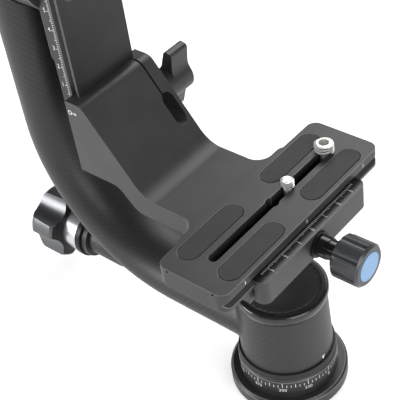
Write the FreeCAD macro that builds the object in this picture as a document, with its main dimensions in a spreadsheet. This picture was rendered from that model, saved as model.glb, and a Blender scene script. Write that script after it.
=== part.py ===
"""Gimbal tripod head: pan base, one-piece carbon arm, tilting swing bar, height-adjustable cradle with a
quick-release clamp, and a long lens plate.

Millimetres. +Z is up, the origin is the centre of the foot's underside on the pan axis, +X runs from the
arm's upright towards the clamp knob and +Y runs along the lens.
"""
import FreeCAD, Part
import math
import os
import re
import Sketcher
from FreeCAD import Placement, Rotation, Vector

doc = FreeCAD.newDocument("GimbalHead")

# Driving dimensions. Each is one number, set once.
SIZES = {
    # clearances
    "fit": 0.02, "run": 0.05, "slide_gap": 0.1, "gap": 0.3,
    # foot, thread insert and foot screws
    "foot_rim": 5.0, "foot_thick": 8.0, "foot_edge": 1.2,
    "insert_radius": 8.0, "insert_height": 14.0, "socket_radius": 4.7625, "socket_depth": 12.0,
    "foot_screw_radius": 2.0, "foot_screw_head": 3.9, "foot_screw_bite": 2.4,
    "foot_screw_sunk": 0.6, "foot_screw_count": 3,
    # spindle
    "spigot_wall": 4.0, "flange_margin": 3.5, "flange_thick": 3.0, "drum_step": 2.5,
    "drum_rise": 10.5, "spindle_radius": 10.0, "thread_step": 3.0, "nut_wall": 4.5, "nut_height": 3.5,
    # collar and seal ring
    "collar_wall": 5.0, "collar_height": 11.0, "collar_clear": 0.5, "collar_edge": 0.8,
    "seal_step": 0.6, "seal_height": 4.2, "seal_clear": 1.0,
    # pan bearings
    "pan_race": 2.0, "pan_bearing_section": 7.0, "bearing_width": 7.0, "pan_bearing_spacer": 4.0,
    "pan_ball_count": 12,
    # sleeve, bearing housing and cap
    "housing_wall": 2.4, "bearing_ledge": 1.5, "mouth_clear": 0.7, "sleeve_foot_wall": 3.9,
    "sleeve_head_wall": 2.5, "cap_headroom": 0.5,
    "cap_overhang": 1.0, "cap_height": 6.6, "cap_rim": 1.8, "cap_floor": 1.5, "cap_spigot": 2.0,
    "cap_spigot_wall": 1.6,
    # main arm
    "tube_half_width": 19.5, "tube_half_height": 14.0, "tube_wall": 2.4, "tube_lift": 0.7,
    "bend_radius": 77.0, "bend_reach": 61.0, "tube_web": 3.0,
    "tilt_height": 212.0, "eye_wall": 5.0, "eye_half_length": 15.0,
    "sleeve_blend": 5.0,
    # pan lock
    "lock_rise": 5.0, "boss_radius": 9.8, "boss_set": 8.0, "boss_length": 22.0, "boss_nose": 28.0,
    "boss_tip_radius": 2.0, "lock_bush_radius": 6.0, "lock_bush_length": 22.0, "lock_bush_flange": 12.3,
    "lock_bush_flange_thick": 3.4, "lock_rod_radius": 2.5, "rod_channel": 3.0,
    "lock_washer_radius": 13.7, "lock_washer_thick": 3.6,
    "pad_radius": 3.5, "pad_length": 9.0, "pad_travel": 1.0, "lock_hub_length": 12.0,
    "lock_hub_radius": 13.7, "lock_hub_waist": 12.6, "lock_grip_radius": 20.2, "lock_grip_length": 18.5,
    "lock_lobes": 5, "lock_scallop": 13.3, "lock_scallop_bite": 5.4, "lock_rod_grip": 10.0,
    "lock_dish_radius": 9.0, "lock_turn": 38.0, "knob_edge": 1.6, "knob_nose": 2.5, "knob_crown": 4.5,
    "scallop_taper": 3.0,
    # tilt pivot
    "tilt_shaft_radius": 9.0, "tilt_race": 1.8, "tilt_bearing_section": 7.0, "tilt_housing_wall": 6.0,
    "tilt_bearing_inset": 0.5, "tilt_ball_count": 11, "friction_radius": 24.0, "friction_clear": 2.5,
    "friction_thick": 1.3, "hub_radius": 26.0, "hub_skin": 3.4, "hub_length": 14.6,
    "end_plate_thick": 3.0, "end_plate_clear": 1.0, "plate_screw_count": 4, "plate_screw_radius": 1.25,
    "plate_screw_head": 2.2, "plate_screw_head_height": 1.6, "plate_screw_bite": 8.0,
    "thrust_radius": 14.0, "thrust_thick": 1.7, "stud_radius": 4.0, "stud_grip": 18.0, "stud_spare": 2.0,
    "tilt_hub_length": 6.0, "tilt_hub_radius": 15.0, "tilt_hub_waist": 14.2, "tilt_grip_radius": 24.5,
    "tilt_grip_length": 20.0, "tilt_lobes": 5, "tilt_scallop": 16.0, "tilt_scallop_bite": 6.5,
    "tilt_turn": 5.0,
    "tilt_insert_radius": 7.0, "badge_radius": 10.0, "badge_thick": 1.0, "badge_proud": 0.3,
    # swing bar
    "bar_thick": 11.4, "bar_half_width": 19.0, "bar_lip": 1.1, "bar_groove": 1.9,
    "bar_start": 3.0, "bar_overtop": 22.0, "bar_corner": 8.0, "bar_pad_thick": 1.3, "bar_pad_drop": 44.0,
    "bar_screw_pitch": 10.0, "bar_screw_radius": 2.0, "bar_screw_head": 4.0, "bar_screw_bite": 7.0,
    "stop_rise": 4.5, "stop_radius": 1.5, "stop_head": 2.4, "stop_proud": 1.8, "stop_bite": 5.0,
    # cradle
    "cradle_cheek": 5.5, "hook_depth": 4.2, "upright_thick": 10.0, "upright_rise": 41.5,
    "wedge_run": 31.2, "wedge_round": 6.0, "wedge_blend": 16.0,
    "shelf_thick": 11.5, "under_back_set": 24.6, "under_run": 10.7, "under_blend": 8.0,
    "block_half_width": 41.0, "block_wall": 6.0, "block_inset": 2.0, "block_thick": 9.6,
    "block_corner": 4.0, "block_blend": 8.0, "shelf_overlap": 4.0,
    "hook_relief": 0.4, "hook_land": 0.6,
    "slit_inset": 1.5, "slit_width": 1.1, "relief_rise": 12.0, "relief_length": 14.5, "relief_width": 7.2,
    "relief_shift": 1.3, "relief_floor": 4.5, "cradle_travel_down": 8.0,
    # cradle knob
    "cradle_knob_set": 8.3, "cradle_knob_rise": 18.2, "cradle_stud_radius": 2.5, "cradle_stud_clear": 0.3,
    "cradle_stud_bite": 12.0, "cradle_washer_radius": 7.5, "cradle_washer_thick": 1.5,
    "cradle_hub_radius": 8.3, "cradle_hub_length": 7.5, "wing_reach": 19.8, "wing_tip": 2.5, "wing_root": 4.4,
    "wing_thick": 12.0, "wing_tilt": 13.0, "cradle_stud_grip": 9.5, "wing_round": 1.8, "wing_hollow": 7.0,
    # lens plate
    "plate_top": 115.0, "plate_thick": 10.0, "plate_half_width": 19.0, "plate_length": 117.0,
    "plate_corner": 5.0, "plate_flange": 4.1, "plate_groove": 2.3,
    "slot_radius": 2.45, "slot_margin": 16.75, "entry_radius": 3.25, "channel_clear": 0.6,
    "channel_depth": 4.6, "channel_margin": 7.5,
    "pad_half_width": 5.5, "pad_offset": 11.35, "pad_near": 9.5, "pad_margin": 8.7, "pad_sunk": 1.2,
    "pad_proud": 0.2, "notch_width": 1.4, "notch_depth": 1.6, "notch_offset": 12.6, "notch_drop": 2.0,
    "stop_pin_radius": 1.6, "stop_pin_margin": 4.5, "stop_pin_proud": 1.6, "stop_pin_bite": 3.0,
    "stop_pin_side": 12.0,
    # lens screws
    "quarter_radius": 3.175, "quarter_proud": 5.0, "quarter_place": 12.0,
    "bush_radius": 4.7625, "bush_proud": 6.0, "bush_margin": 17.5, "bush_bore": 2.6, "bush_bore_depth": 4.0,
    "screw_neck": 2.1, "washer_rim": 0.4, "screw_head_thick": 2.4, "screw_washer_radius": 7.4,
    "screw_washer_thick": 0.8, "screw_collar": 1.0, "head_slot_width": 1.6, "head_slot_depth": 1.2,
    # clamp jaw, screw and knob
    "jaw_gap": 1.2, "jaw_wall": 5.5, "jaw_step": 2.0, "jaw_thick": 9.1, "jaw_lip_gap": 0.6, "lip_edge": 0.4,
    "jaw_recess": 0.2, "jaw_corner": 4.0,
    "clamp_drop": 3.4, "clamp_screw_radius": 3.0, "clamp_screw_bite": 17.5, "clamp_screw_clear": 0.3,
    "guide_radius": 2.0, "guide_offset": 27.0, "guide_drop": 4.5, "guide_bite": 9.5, "guide_seat": 5.0,
    "guide_spare": 1.0, "clamp_washer_radius": 6.4, "clamp_washer_thick": 1.3,
    "shank_radius": 5.2, "shank_step": 4.7, "shank_step_length": 5.0, "shank_length": 10.7,
    "clamp_grip_radius": 10.4, "clamp_grip_length": 14.5, "clamp_grip_edge": 1.2, "clamp_flutes": 8,
    "flute_radius": 2.4, "flute_bite": 1.5, "clamp_screw_grip": 14.0, "disc_radius": 7.0, "disc_thick": 1.0,
    "disc_proud": 0.2,
}

# Places and sizes worked out from the driving dimensions.
DERIVED = {
    # pan base, from the thread insert outwards and from the foot upwards
    "spigot_radius": "insert_radius + spigot_wall",
    "foot_screw_pitch": "spigot_radius + foot_screw_head + slide_gap",
    "flange_radius": "foot_screw_pitch + flange_margin",
    "collar_bore": "flange_radius + collar_clear",
    "collar_radius": "collar_bore + collar_wall",
    "foot_radius": "collar_radius + foot_rim",
    "seal_radius": "collar_radius - seal_step",
    "drum_radius": "spindle_radius + drum_step",
    "seal_bore": "drum_radius + seal_clear",
    "spindle_thread": "spindle_radius - thread_step",
    "nut_radius": "spindle_thread + nut_wall",
    "flange_top": "foot_thick + flange_thick",
    "collar_top": "foot_thick + collar_height",
    "seal_top": "collar_top + seal_height",
    "sleeve_base": "seal_top + gap",
    "lock_height": "sleeve_base + lock_rise",
    "drum_top": "sleeve_base + drum_rise",
    "lower_bearing_top": "drum_top + bearing_width",
    "upper_bearing_base": "lower_bearing_top + pan_bearing_spacer",
    "upper_bearing_top": "upper_bearing_base + bearing_width",
    "spindle_top": "upper_bearing_top + nut_height",
    "sleeve_top": "spindle_top + cap_headroom",
    "sleeve_height": "sleeve_top - sleeve_base",
    # pan bearings, housing, sleeve and cap, outwards from the spindle
    "pan_bearing_radius": "spindle_radius + pan_bearing_section",
    "pan_inner_race": "spindle_radius + pan_race",
    "pan_outer_race": "pan_bearing_radius - pan_race",
    "pan_ball_pitch": "(pan_inner_race + pan_outer_race) / 2",
    "pan_ball_radius": "(pan_outer_race - pan_inner_race) / 2 - run",
    "housing_mouth": "drum_radius + mouth_clear",
    "housing_ledge": "pan_bearing_radius - bearing_ledge",
    "sleeve_bore": "pan_bearing_radius + housing_wall",
    "sleeve_foot_radius": "sleeve_bore + sleeve_foot_wall",
    "sleeve_head_radius": "sleeve_bore + sleeve_head_wall",
    "cap_radius": "sleeve_head_radius + cap_overhang",
    "housing_base": "sleeve_base + gap",
    "cap_rim_top": "sleeve_top + cap_height",
    "housing_top": "sleeve_top - cap_spigot - slide_gap",
    # main arm and pan lock
    "tube_height": "sleeve_base + tube_half_height + tube_lift",
    "bend_height": "tube_height + bend_radius",
    "upright_x": "-bend_reach - bend_radius",
    "upright_run": "tilt_height - bend_height",
    "void_run": "upright_run - eye_bore - tube_web",
    "void_half_width": "tube_half_width - tube_wall",
    "void_half_height": "tube_half_height - tube_wall",
    "boss_face": "-upright_x - boss_set",
    "boss_end": "boss_face - boss_length",
    "boss_tip": "boss_end - boss_nose",
    "boss_x": "-boss_face",
    "lock_flange_x": "-boss_face - lock_bush_flange_thick",
    "lock_washer_x": "lock_flange_x - lock_washer_thick",
    "lock_hub_x": "lock_washer_x - lock_hub_length",
    "pad_tip": "-drum_radius - gap",
    "pad_tail": "pad_tip - pad_length",
    # tilt pivot
    "tilt_bearing_radius": "tilt_shaft_radius + tilt_bearing_section",
    "tilt_housing_ledge": "tilt_bearing_radius - bearing_ledge",
    "eye_bore": "tilt_bearing_radius + tilt_housing_wall",
    "eye_radius": "eye_bore + eye_wall",
    "eye_outer": "upright_x - eye_half_length",
    "eye_inner": "upright_x + eye_half_length",
    "tilt_inner_race": "tilt_shaft_radius + tilt_race",
    "tilt_outer_race": "tilt_bearing_radius - tilt_race",
    "tilt_ball_pitch": "(tilt_inner_race + tilt_outer_race) / 2",
    "tilt_ball_radius": "(tilt_outer_race - tilt_inner_race) / 2 - run",
    "outer_bearing_x": "eye_outer + tilt_bearing_inset",
    "inner_bearing_x": "eye_inner - tilt_bearing_inset - bearing_width",
    "friction_bore": "tilt_shaft_radius + friction_clear",
    "end_plate_bore": "tilt_shaft_radius + end_plate_clear",
    "hub_back": "eye_inner + friction_thick + slide_gap",
    "hub_front": "hub_back + hub_length",
    "end_plate_x": "eye_outer - end_plate_thick",
    "thrust_x": "end_plate_x - slide_gap - thrust_thick",
    "tilt_insert_length": "stud_grip + stud_spare",
    "tilt_knob_end": "thrust_x - tilt_hub_length - tilt_grip_length",
    # swing bar
    "bar_back": "hub_front + bar_pad_thick",
    "bar_front": "bar_back + bar_thick",
    "bar_top": "tilt_height + bar_overtop",
    "bar_pad_bottom": "tilt_height - bar_pad_drop",
    "bar_bottom": "deck_height + bar_start",
    "bar_shoulder": "bar_half_width - bar_corner",
    "lip_back": "bar_front - bar_lip",
    "groove_bottom_x": "lip_back - bar_groove",
    "groove_back": "lip_back - 2 * bar_groove",
    "stop_height": "bar_bottom + stop_rise",
    # lens plate, downwards from its top and inwards from its ends
    "plate_bottom": "plate_top - plate_thick",
    "groove_high": "plate_top - plate_flange",
    "groove_middle": "groove_high - plate_groove",
    "groove_low": "groove_middle - plate_groove",
    "groove_vertex": "plate_half_width - plate_groove",
    "slot_reach": "plate_length / 2 - slot_margin",
    "channel_half_width": "screw_washer_radius + channel_clear",
    "channel_reach": "plate_length / 2 - channel_margin",
    "pad_far": "plate_length / 2 - pad_margin",
    "stop_pin_offset": "plate_length / 2 - stop_pin_margin",
    "bush_place": "plate_length / 2 - bush_margin",
    "screw_head_radius": "screw_washer_radius - washer_rim",
    "head_top": "plate_bottom + channel_depth - slide_gap",
    "washer_base": "head_top - screw_washer_thick",
    # cradle, from the plate that it holds and the bar that it rides on
    "deck_height": "groove_middle + lip_edge",
    "shelf_base": "deck_height - shelf_thick",
    "upright_top": "deck_height + upright_rise",
    "block_base": "plate_bottom - block_thick",
    "block_back": "plate_half_width + block_wall",
    "block_front": "plate_half_width - block_inset",
    "lip_tip": "groove_vertex + jaw_lip_gap",
    "lip_under": "groove_middle - jaw_lip_gap + slide_gap",
    "recess_face": "plate_half_width + jaw_recess",
    "cradle_half_width": "bar_half_width + cradle_cheek",
    "cradle_back": "hook_depth - bar_front",
    "wedge_top": "cradle_back - upright_thick",
    "wedge_foot": "wedge_top - wedge_run",
    "under_back": "cradle_back - under_back_set",
    "under_front": "under_back - under_run",
    "channel_half": "bar_half_width + slide_gap",
    "hook_reach": "bar_groove - hook_relief",
    "hook_half": "channel_half - hook_reach",
    "hook_front": "lip_back - slide_gap",
    "hook_tip_x": "hook_front - hook_reach",
    "hook_back_x": "hook_tip_x - hook_land",
    "hook_end_x": "hook_back_x - hook_reach",
    "slit_middle": "bar_half_width - slit_inset",
    "relief_low": "deck_height + relief_rise",
    "relief_high": "relief_low + relief_length",
    "relief_back": "wedge_top - relief_floor",
    "cradle_knob_x": "cradle_back - cradle_knob_set",
    "cradle_knob_z": "deck_height + cradle_knob_rise",
    "cradle_washer_y": "cradle_half_width + cradle_washer_thick",
    "wing_y": "cradle_washer_y + cradle_hub_length",
    # clamp jaw and knob
    "jaw_back": "block_front + jaw_gap",
    "jaw_face": "plate_half_width + jaw_wall",
    "jaw_half_width": "block_half_width - jaw_step",
    "jaw_base": "plate_bottom - jaw_thick",
    "clamp_axis": "plate_bottom - clamp_drop",
    "guide_height": "plate_bottom - guide_drop",
    "clamp_washer_x": "jaw_face + clamp_washer_thick",
    "clamp_knob_end": "clamp_washer_x + shank_length + clamp_grip_length",
}

sheet = doc.addObject("Spreadsheet::Sheet", "Sizes")
for line, (alias, number) in enumerate(list(SIZES.items()) + list(DERIVED.items()), start=1):
    sheet.set(f"A{line}", alias)
    sheet.set(f"B{line}", str(number) if alias in SIZES else "=" + number)
    sheet.setAlias(f"B{line}", alias)
doc.recompute()

NAMES = set(SIZES) | set(DERIVED)
PARTS = []


def bound(text):
    """The text as an expression on the sheet's cells."""
    return re.sub(r"[a-z][a-z_]*", lambda word: "Sizes." + word[0] if word[0] in NAMES else word[0],
                  str(text))


def size(text):
    """The value of a sum of sheet names, each with an optional number in front, such as '-2 * a + b'."""
    total = 0.0
    for sign, term in re.findall(r"([+-]?)\s*([\w.]+(?:\s*[*/]\s*[\w.]+)*)", str(text)):
        factors = re.findall(r"([*/]?)\s*([\w.]+)", term)
        value = 1.0
        for operator, factor in factors:
            number = float(sheet.get(factor)) if factor in NAMES else float(factor)
            value = value / number if operator == "/" else value * number
        total += -value if sign == "-" else value
    return total


def piece(thing, label):
    """Marks a finished object as a sub-part with its own label."""
    thing.Label = label
    PARTS.append(thing)
    return thing


def place(thing, x="0", y="0", z="0", turn=None):
    """Turns an object and binds its place to the sheet."""
    if turn:
        thing.Placement = Placement(Vector(0, 0, 0), turn)
    for axis, text in zip("xyz", (x, y, z)):
        thing.setExpression(f"Placement.Base.{axis}", bound(text))
    return thing


ALONG_X = Rotation(Vector(0, 1, 0), 90)
ALONG_MINUS_X = Rotation(Vector(0, 1, 0), -90)
ALONG_Y = Rotation(Vector(1, 0, 0), -90)


def cylinder(name, radius, height, x="0", y="0", z="0", turn=None):
    """A Part cylinder whose axis starts at x, y, z."""
    rod = doc.addObject("Part::Cylinder", name)
    rod.setExpression("Radius", bound(radius))
    rod.setExpression("Height", bound(height))
    return place(rod, x, y, z, turn)


def cone(name, low, high, height, x="0", y="0", z="0", turn=None):
    """A Part cone from radius low to radius high."""
    body = doc.addObject("Part::Cone", name)
    body.setExpression("Radius1", bound(low))
    body.setExpression("Radius2", bound(high))
    body.setExpression("Height", bound(height))
    return place(body, x, y, z, turn)


def fuse(name, shapes):
    """One solid from overlapping shapes."""
    union = doc.addObject("Part::MultiFuse", name)
    union.Shapes = shapes
    union.Refine = True
    return union


def group(name, shapes):
    """Separate solids kept as one object."""
    bundle = doc.addObject("Part::Compound", name)
    bundle.Links = shapes
    return bundle


def cut(name, base, tool):
    """The base without the tool."""
    rest = doc.addObject("Part::Cut", name)
    rest.Base = base
    rest.Tool = tool
    rest.Refine = True
    return rest


def tube(name, outer, inner, height, x="0", y="0", z="0", turn=None):
    """A ring or pipe."""
    return cut(name, cylinder(name + "_outer", outer, height, x, y, z, turn),
               cylinder(name + "_inner", inner, height, x, y, z, turn))


def new_body(name):
    return doc.addObject("PartDesign::Body", name)


def new_sketch(body, name, role, offset="0"):
    """A sketch on one of the body's own origin planes, moved along the plane's normal."""
    plane = next(feature for feature in body.Origin.OriginFeatures if feature.Role == role)
    sketch = body.newObject("Sketcher::SketchObject", name)
    sketch.AttachmentSupport = [(plane, "")]
    sketch.MapMode = "FlatFace"
    sketch.setExpression("AttachmentOffset.Base.z", bound(offset))
    return sketch


def pin_point(sketch, geometry, corner, x, y):
    """Binds one point of a sketch to two expressions."""
    for kind, text in (("DistanceX", x), ("DistanceY", y)):
        index = sketch.addConstraint(Sketcher.Constraint(kind, -1, 1, geometry, corner, size(text)))
        sketch.setExpression(f"Constraints[{index}]", bound(text))


def polygon(sketch, points):
    """A closed outline of straight lines through points given as expressions."""
    first = sketch.GeometryCount
    count = len(points)
    spots = [Vector(size(x), size(y), 0) for x, y in points]
    for step in range(count):
        sketch.addGeometry(Part.LineSegment(spots[step], spots[(step + 1) % count]))
    for step in range(count):
        following = first + (step + 1) % count
        sketch.addConstraint(Sketcher.Constraint("Coincident", first + step, 2, following, 1))
    for step, (x, y) in enumerate(points):
        pin_point(sketch, first + step, 1, x, y)


def rectangle(sketch, low_x, high_x, low_y, high_y):
    polygon(sketch, [(low_x, low_y), (high_x, low_y), (high_x, high_y), (low_x, high_y)])


def circle(sketch, x, y, radius):
    index = sketch.addGeometry(Part.Circle(Vector(size(x), size(y), 0), Vector(0, 0, 1), size(radius)))
    pin_point(sketch, index, 3, x, y)
    bond = sketch.addConstraint(Sketcher.Constraint("Radius", index, size(radius)))
    sketch.setExpression(f"Constraints[{bond}]", bound(radius))


def stadium(sketch, x, low_y, high_y, radius):
    """A long hole with round ends, its end centres at x, low_y and x, high_y."""
    mid, low, high, bend = size(x), size(low_y), size(high_y), size(radius)
    up = Vector(0, 0, 1)
    first = sketch.GeometryCount
    sketch.addGeometry(Part.ArcOfCircle(Part.Circle(Vector(mid, high, 0), up, bend), 0, math.pi))
    sketch.addGeometry(Part.LineSegment(Vector(mid - bend, high, 0), Vector(mid - bend, low, 0)))
    sketch.addGeometry(Part.ArcOfCircle(Part.Circle(Vector(mid, low, 0), up, bend), math.pi, 2 * math.pi))
    sketch.addGeometry(Part.LineSegment(Vector(mid + bend, low, 0), Vector(mid + bend, high, 0)))
    for step in range(4):
        sketch.addConstraint(Sketcher.Constraint("Tangent", first + step, 2, first + (step + 1) % 4, 1))
    sketch.addConstraint(Sketcher.Constraint("Equal", first, first + 2))
    pin_point(sketch, first, 3, x, high_y)
    pin_point(sketch, first + 2, 3, x, low_y)
    bond = sketch.addConstraint(Sketcher.Constraint("Radius", first, bend))
    sketch.setExpression(f"Constraints[{bond}]", bound(radius))


def pad(body, sketch, length, symmetric=False, reverse=False):
    """A PartDesign pad of a sketch, one-sided or symmetric about its plane."""
    feature = body.newObject("PartDesign::Pad", sketch.Name + "_pad")
    feature.Profile = sketch
    feature.SideType = "Symmetric" if symmetric else "One side"
    feature.setExpression("Length", bound(length))
    feature.Reversed = reverse
    doc.recompute()
    return feature


def pocket(body, sketch, length, symmetric=False, reverse=False):
    """A PartDesign pocket that must take material away."""
    before = body.Shape.Volume
    feature = body.newObject("PartDesign::Pocket", sketch.Name + "_pocket")
    feature.Profile = sketch
    feature.SideType = "Symmetric" if symmetric else "One side"
    feature.setExpression("Length", bound(length))
    feature.Reversed = reverse
    doc.recompute()
    if body.Shape.Volume >= before:
        raise RuntimeError(sketch.Name + " cuts nothing")
    return feature


def revolve(body, sketch):
    """A full turn of a sketch about its own vertical axis."""
    feature = body.newObject("PartDesign::Revolution", sketch.Name + "_turn")
    feature.Profile = sketch
    feature.ReferenceAxis = (sketch, ["V_Axis"])
    doc.recompute()
    return feature


def turned(name, points, x="0", y="0", z="0", turn=None):
    """A lathe-turned body: radius and height of each corner of its half section."""
    body = new_body(name)
    sketch = new_sketch(body, name + "_section", "XZ_Plane")
    polygon(sketch, points)
    revolve(body, sketch)
    return place(body, x, y, z, turn)


def repeat(body, feature, count, role="Z_Axis"):
    """The feature repeated round one of the body's own axes."""
    pattern = body.newObject("PartDesign::PolarPattern", feature.Name + "_round")
    pattern.Originals = [feature]
    axis = next(item for item in body.Origin.OriginFeatures if item.Role == role)
    pattern.Axis = (axis, [""])
    pattern.Angle = 360
    pattern.setExpression("Occurrences", bound(count))
    body.Tip = pattern
    doc.recompute()
    return pattern


def dress(body, kind, measure, radius, chosen):
    """A fillet or chamfer on the edges of the body's tip that the chosen function picks."""
    tip = body.Tip
    names = [f"Edge{index}" for index, edge in enumerate(tip.Shape.Edges, start=1) if chosen(edge)]
    if not names:
        raise RuntimeError(body.Name + " has no edge for its " + kind)
    feature = body.newObject("PartDesign::" + kind, body.Name + "_" + kind.lower())
    feature.Base = (tip, names)
    feature.setExpression(measure, bound(radius))
    doc.recompute()
    return feature


def fillet(body, radius, chosen):
    return dress(body, "Fillet", "Radius", radius, chosen)


def near(value, text):
    return abs(value - size(text)) < 0.01


def upright_edge(edge, x, y):
    """Whether an edge stands vertical at x, y."""
    box_of = edge.BoundBox
    return (box_of.XLength < 0.01 and box_of.YLength < 0.01
            and near(box_of.XMin, x) and near(box_of.YMin, y))


def cross_edge(edge, x, z):
    """Whether an edge runs along Y at x, z."""
    box_of = edge.BoundBox
    return (box_of.XLength < 0.01 and box_of.ZLength < 0.01
            and near(box_of.XMin, x) and near(box_of.ZMin, z))


def ring_places(count, pitch):
    """The places of a ring of holes or balls, as expressions."""
    places = []
    for step in range(int(size(count))):
        angle = f"{step} * 360 / {count}"
        places.append((f"{pitch} * cos({angle})", f"{pitch} * sin({angle})"))
    return places


# ---- Pan base: foot, thread insert, spindle and foot screws ----

foot = new_body("base_foot")
foot_section = new_sketch(foot, "foot_section", "XZ_Plane")
polygon(foot_section, [("spigot_radius + fit", "0"), ("foot_radius - foot_edge", "0"),
                       ("foot_radius", "foot_edge"), ("foot_radius", "foot_thick - foot_edge"),
                       ("foot_radius - foot_edge", "foot_thick"), ("spigot_radius + fit", "foot_thick")])
revolve(foot, foot_section)
foot_hole = new_sketch(foot, "foot_hole", "XY_Plane")
circle(foot_hole, "foot_screw_pitch", "0", "foot_screw_radius + fit")
shank_hole = pocket(foot, foot_hole, "foot_thick", reverse=True)
repeat(foot, shank_hole, "foot_screw_count")
foot_sink = new_sketch(foot, "foot_sink", "XY_Plane")
circle(foot_sink, "foot_screw_pitch", "0", "foot_screw_head + fit")
sink = pocket(foot, foot_sink, "foot_screw_head - foot_screw_radius + foot_screw_sunk + fit", reverse=True)
repeat(foot, sink, "foot_screw_count")
piece(foot, "base_foot")

piece(turned("tripod_insert", [
    ("socket_radius", "0"), ("insert_radius", "0"), ("insert_radius", "insert_height"),
    ("0", "insert_height"), ("0", "socket_depth"), ("socket_radius", "socket_depth")]), "tripod_insert")

spindle = turned("spindle", [
    ("insert_radius + fit", "0"), ("spigot_radius", "0"), ("spigot_radius", "foot_thick"),
    ("flange_radius", "foot_thick"), ("flange_radius", "flange_top"), ("drum_radius", "flange_top"),
    ("drum_radius", "drum_top"), ("spindle_radius", "drum_top"), ("spindle_radius", "upper_bearing_top"),
    ("spindle_thread", "upper_bearing_top"), ("spindle_thread", "spindle_top"), ("0", "spindle_top"),
    ("0", "insert_height + fit"), ("insert_radius + fit", "insert_height + fit")])
flange_hole = new_sketch(spindle, "flange_hole", "XY_Plane", "foot_thick")
circle(flange_hole, "foot_screw_pitch", "0", "foot_screw_radius + fit")
tapped = pocket(spindle, flange_hole, "foot_screw_bite + fit", reverse=True)
repeat(spindle, tapped, "foot_screw_count")
piece(spindle, "spindle")


def countersunk(name, radius, head, length, x, y, z, turn=None):
    """A countersunk screw whose flat head face is at x, y, z."""
    return fuse(name, [cone(name + "_head", head, radius, f"{head} - {radius}", x, y, z, turn),
                       cylinder(name + "_shank", radius, length, x, y, z, turn)])


foot_screws = [countersunk(f"foot_screw_{number}", "foot_screw_radius", "foot_screw_head",
                           "foot_thick - foot_screw_sunk + foot_screw_bite", x, y, "foot_screw_sunk")
               for number, (x, y) in enumerate(ring_places("foot_screw_count", "foot_screw_pitch"))]
piece(group("foot_screws", foot_screws), "foot_screws")

# ---- Scale collar, seal ring, nut and pan bearings ----

piece(turned("pan_collar", [
    ("collar_bore", "foot_thick"), ("collar_radius", "foot_thick"),
    ("collar_radius", "collar_top - collar_edge"), ("collar_radius - collar_edge", "collar_top"),
    ("collar_bore", "collar_top")]), "pan_collar")
piece(tube("seal_ring", "seal_radius", "seal_bore", "seal_height", z="collar_top"), "seal_ring")
piece(tube("spindle_nut", "nut_radius", "spindle_thread + fit", "nut_height", z="upper_bearing_top"),
      "spindle_nut")


def races(name, outer, inner, places, turn=None):
    """The same ring of both bearings of a pair."""
    rings = [tube(f"{name}_{number}", outer, inner, "bearing_width", *spot, turn)
             for number, spot in enumerate(places)]
    return piece(group(name, rings), name)


PAN_BEARINGS = [("0", "0", "drum_top"), ("0", "0", "upper_bearing_base")]
races("pan_inner_races", "pan_inner_race", "spindle_radius + fit", PAN_BEARINGS)
races("pan_outer_races", "pan_bearing_radius - fit", "pan_outer_race", PAN_BEARINGS)


def ball(name, radius, x, y, z):
    sphere = doc.addObject("Part::Sphere", name)
    sphere.setExpression("Radius", bound(radius))
    return place(sphere, x, y, z)


pan_balls = [ball(f"pan_ball_{row}_{number}", "pan_ball_radius", x, y, f"{base} + bearing_width / 2")
             for row, (_, _, base) in enumerate(PAN_BEARINGS)
             for number, (x, y) in enumerate(ring_places("pan_ball_count", "pan_ball_pitch"))]
piece(group("pan_balls", pan_balls), "pan_balls")

# ---- Bearing housing and dished cap inside and on top of the arm's sleeve ----

housing = turned("pan_housing", [
    ("housing_mouth", "housing_base"), ("sleeve_bore - fit", "housing_base"),
    ("sleeve_bore - fit", "housing_top"), ("pan_bearing_radius", "housing_top"),
    ("pan_bearing_radius", "upper_bearing_base"), ("housing_ledge", "upper_bearing_base"),
    ("housing_ledge", "lower_bearing_top"), ("pan_bearing_radius", "lower_bearing_top"),
    ("pan_bearing_radius", "drum_top"), ("housing_mouth", "drum_top")])
pad_guide = new_sketch(housing, "pad_guide", "YZ_Plane", "-sleeve_bore")
circle(pad_guide, "0", "lock_height", "pad_radius + run")
pocket(housing, pad_guide, "sleeve_bore - housing_mouth / 2", reverse=True)
piece(housing, "pan_housing")

cap = new_body("pan_cap")
cap_section = new_sketch(cap, "cap_section", "XZ_Plane")
polygon(cap_section, [
    ("0", "sleeve_top"), ("sleeve_bore - cap_spigot_wall - fit", "sleeve_top"),
    ("sleeve_bore - cap_spigot_wall - fit", "sleeve_top - cap_spigot"),
    ("sleeve_bore - fit", "sleeve_top - cap_spigot"), ("sleeve_bore - fit", "sleeve_top"),
    ("sleeve_head_radius", "sleeve_top"), ("cap_radius", "sleeve_top + cap_height / 2"),
    ("cap_radius", "cap_rim_top"), ("cap_radius - 2 * cap_rim", "cap_rim_top"),
    ("cap_radius / 2", "sleeve_top + 2 * cap_floor"), ("0", "sleeve_top + cap_floor")])
revolve(cap, cap_section)
fillet(cap, "cap_rim - run", lambda edge: near(edge.BoundBox.ZMin, "cap_rim_top")
       and near(edge.BoundBox.ZMax, "cap_rim_top"))
piece(cap, "pan_cap")

# ---- Main arm: one moulded oval tube, bent through a right angle, with sleeve, boss and eye ----


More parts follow.
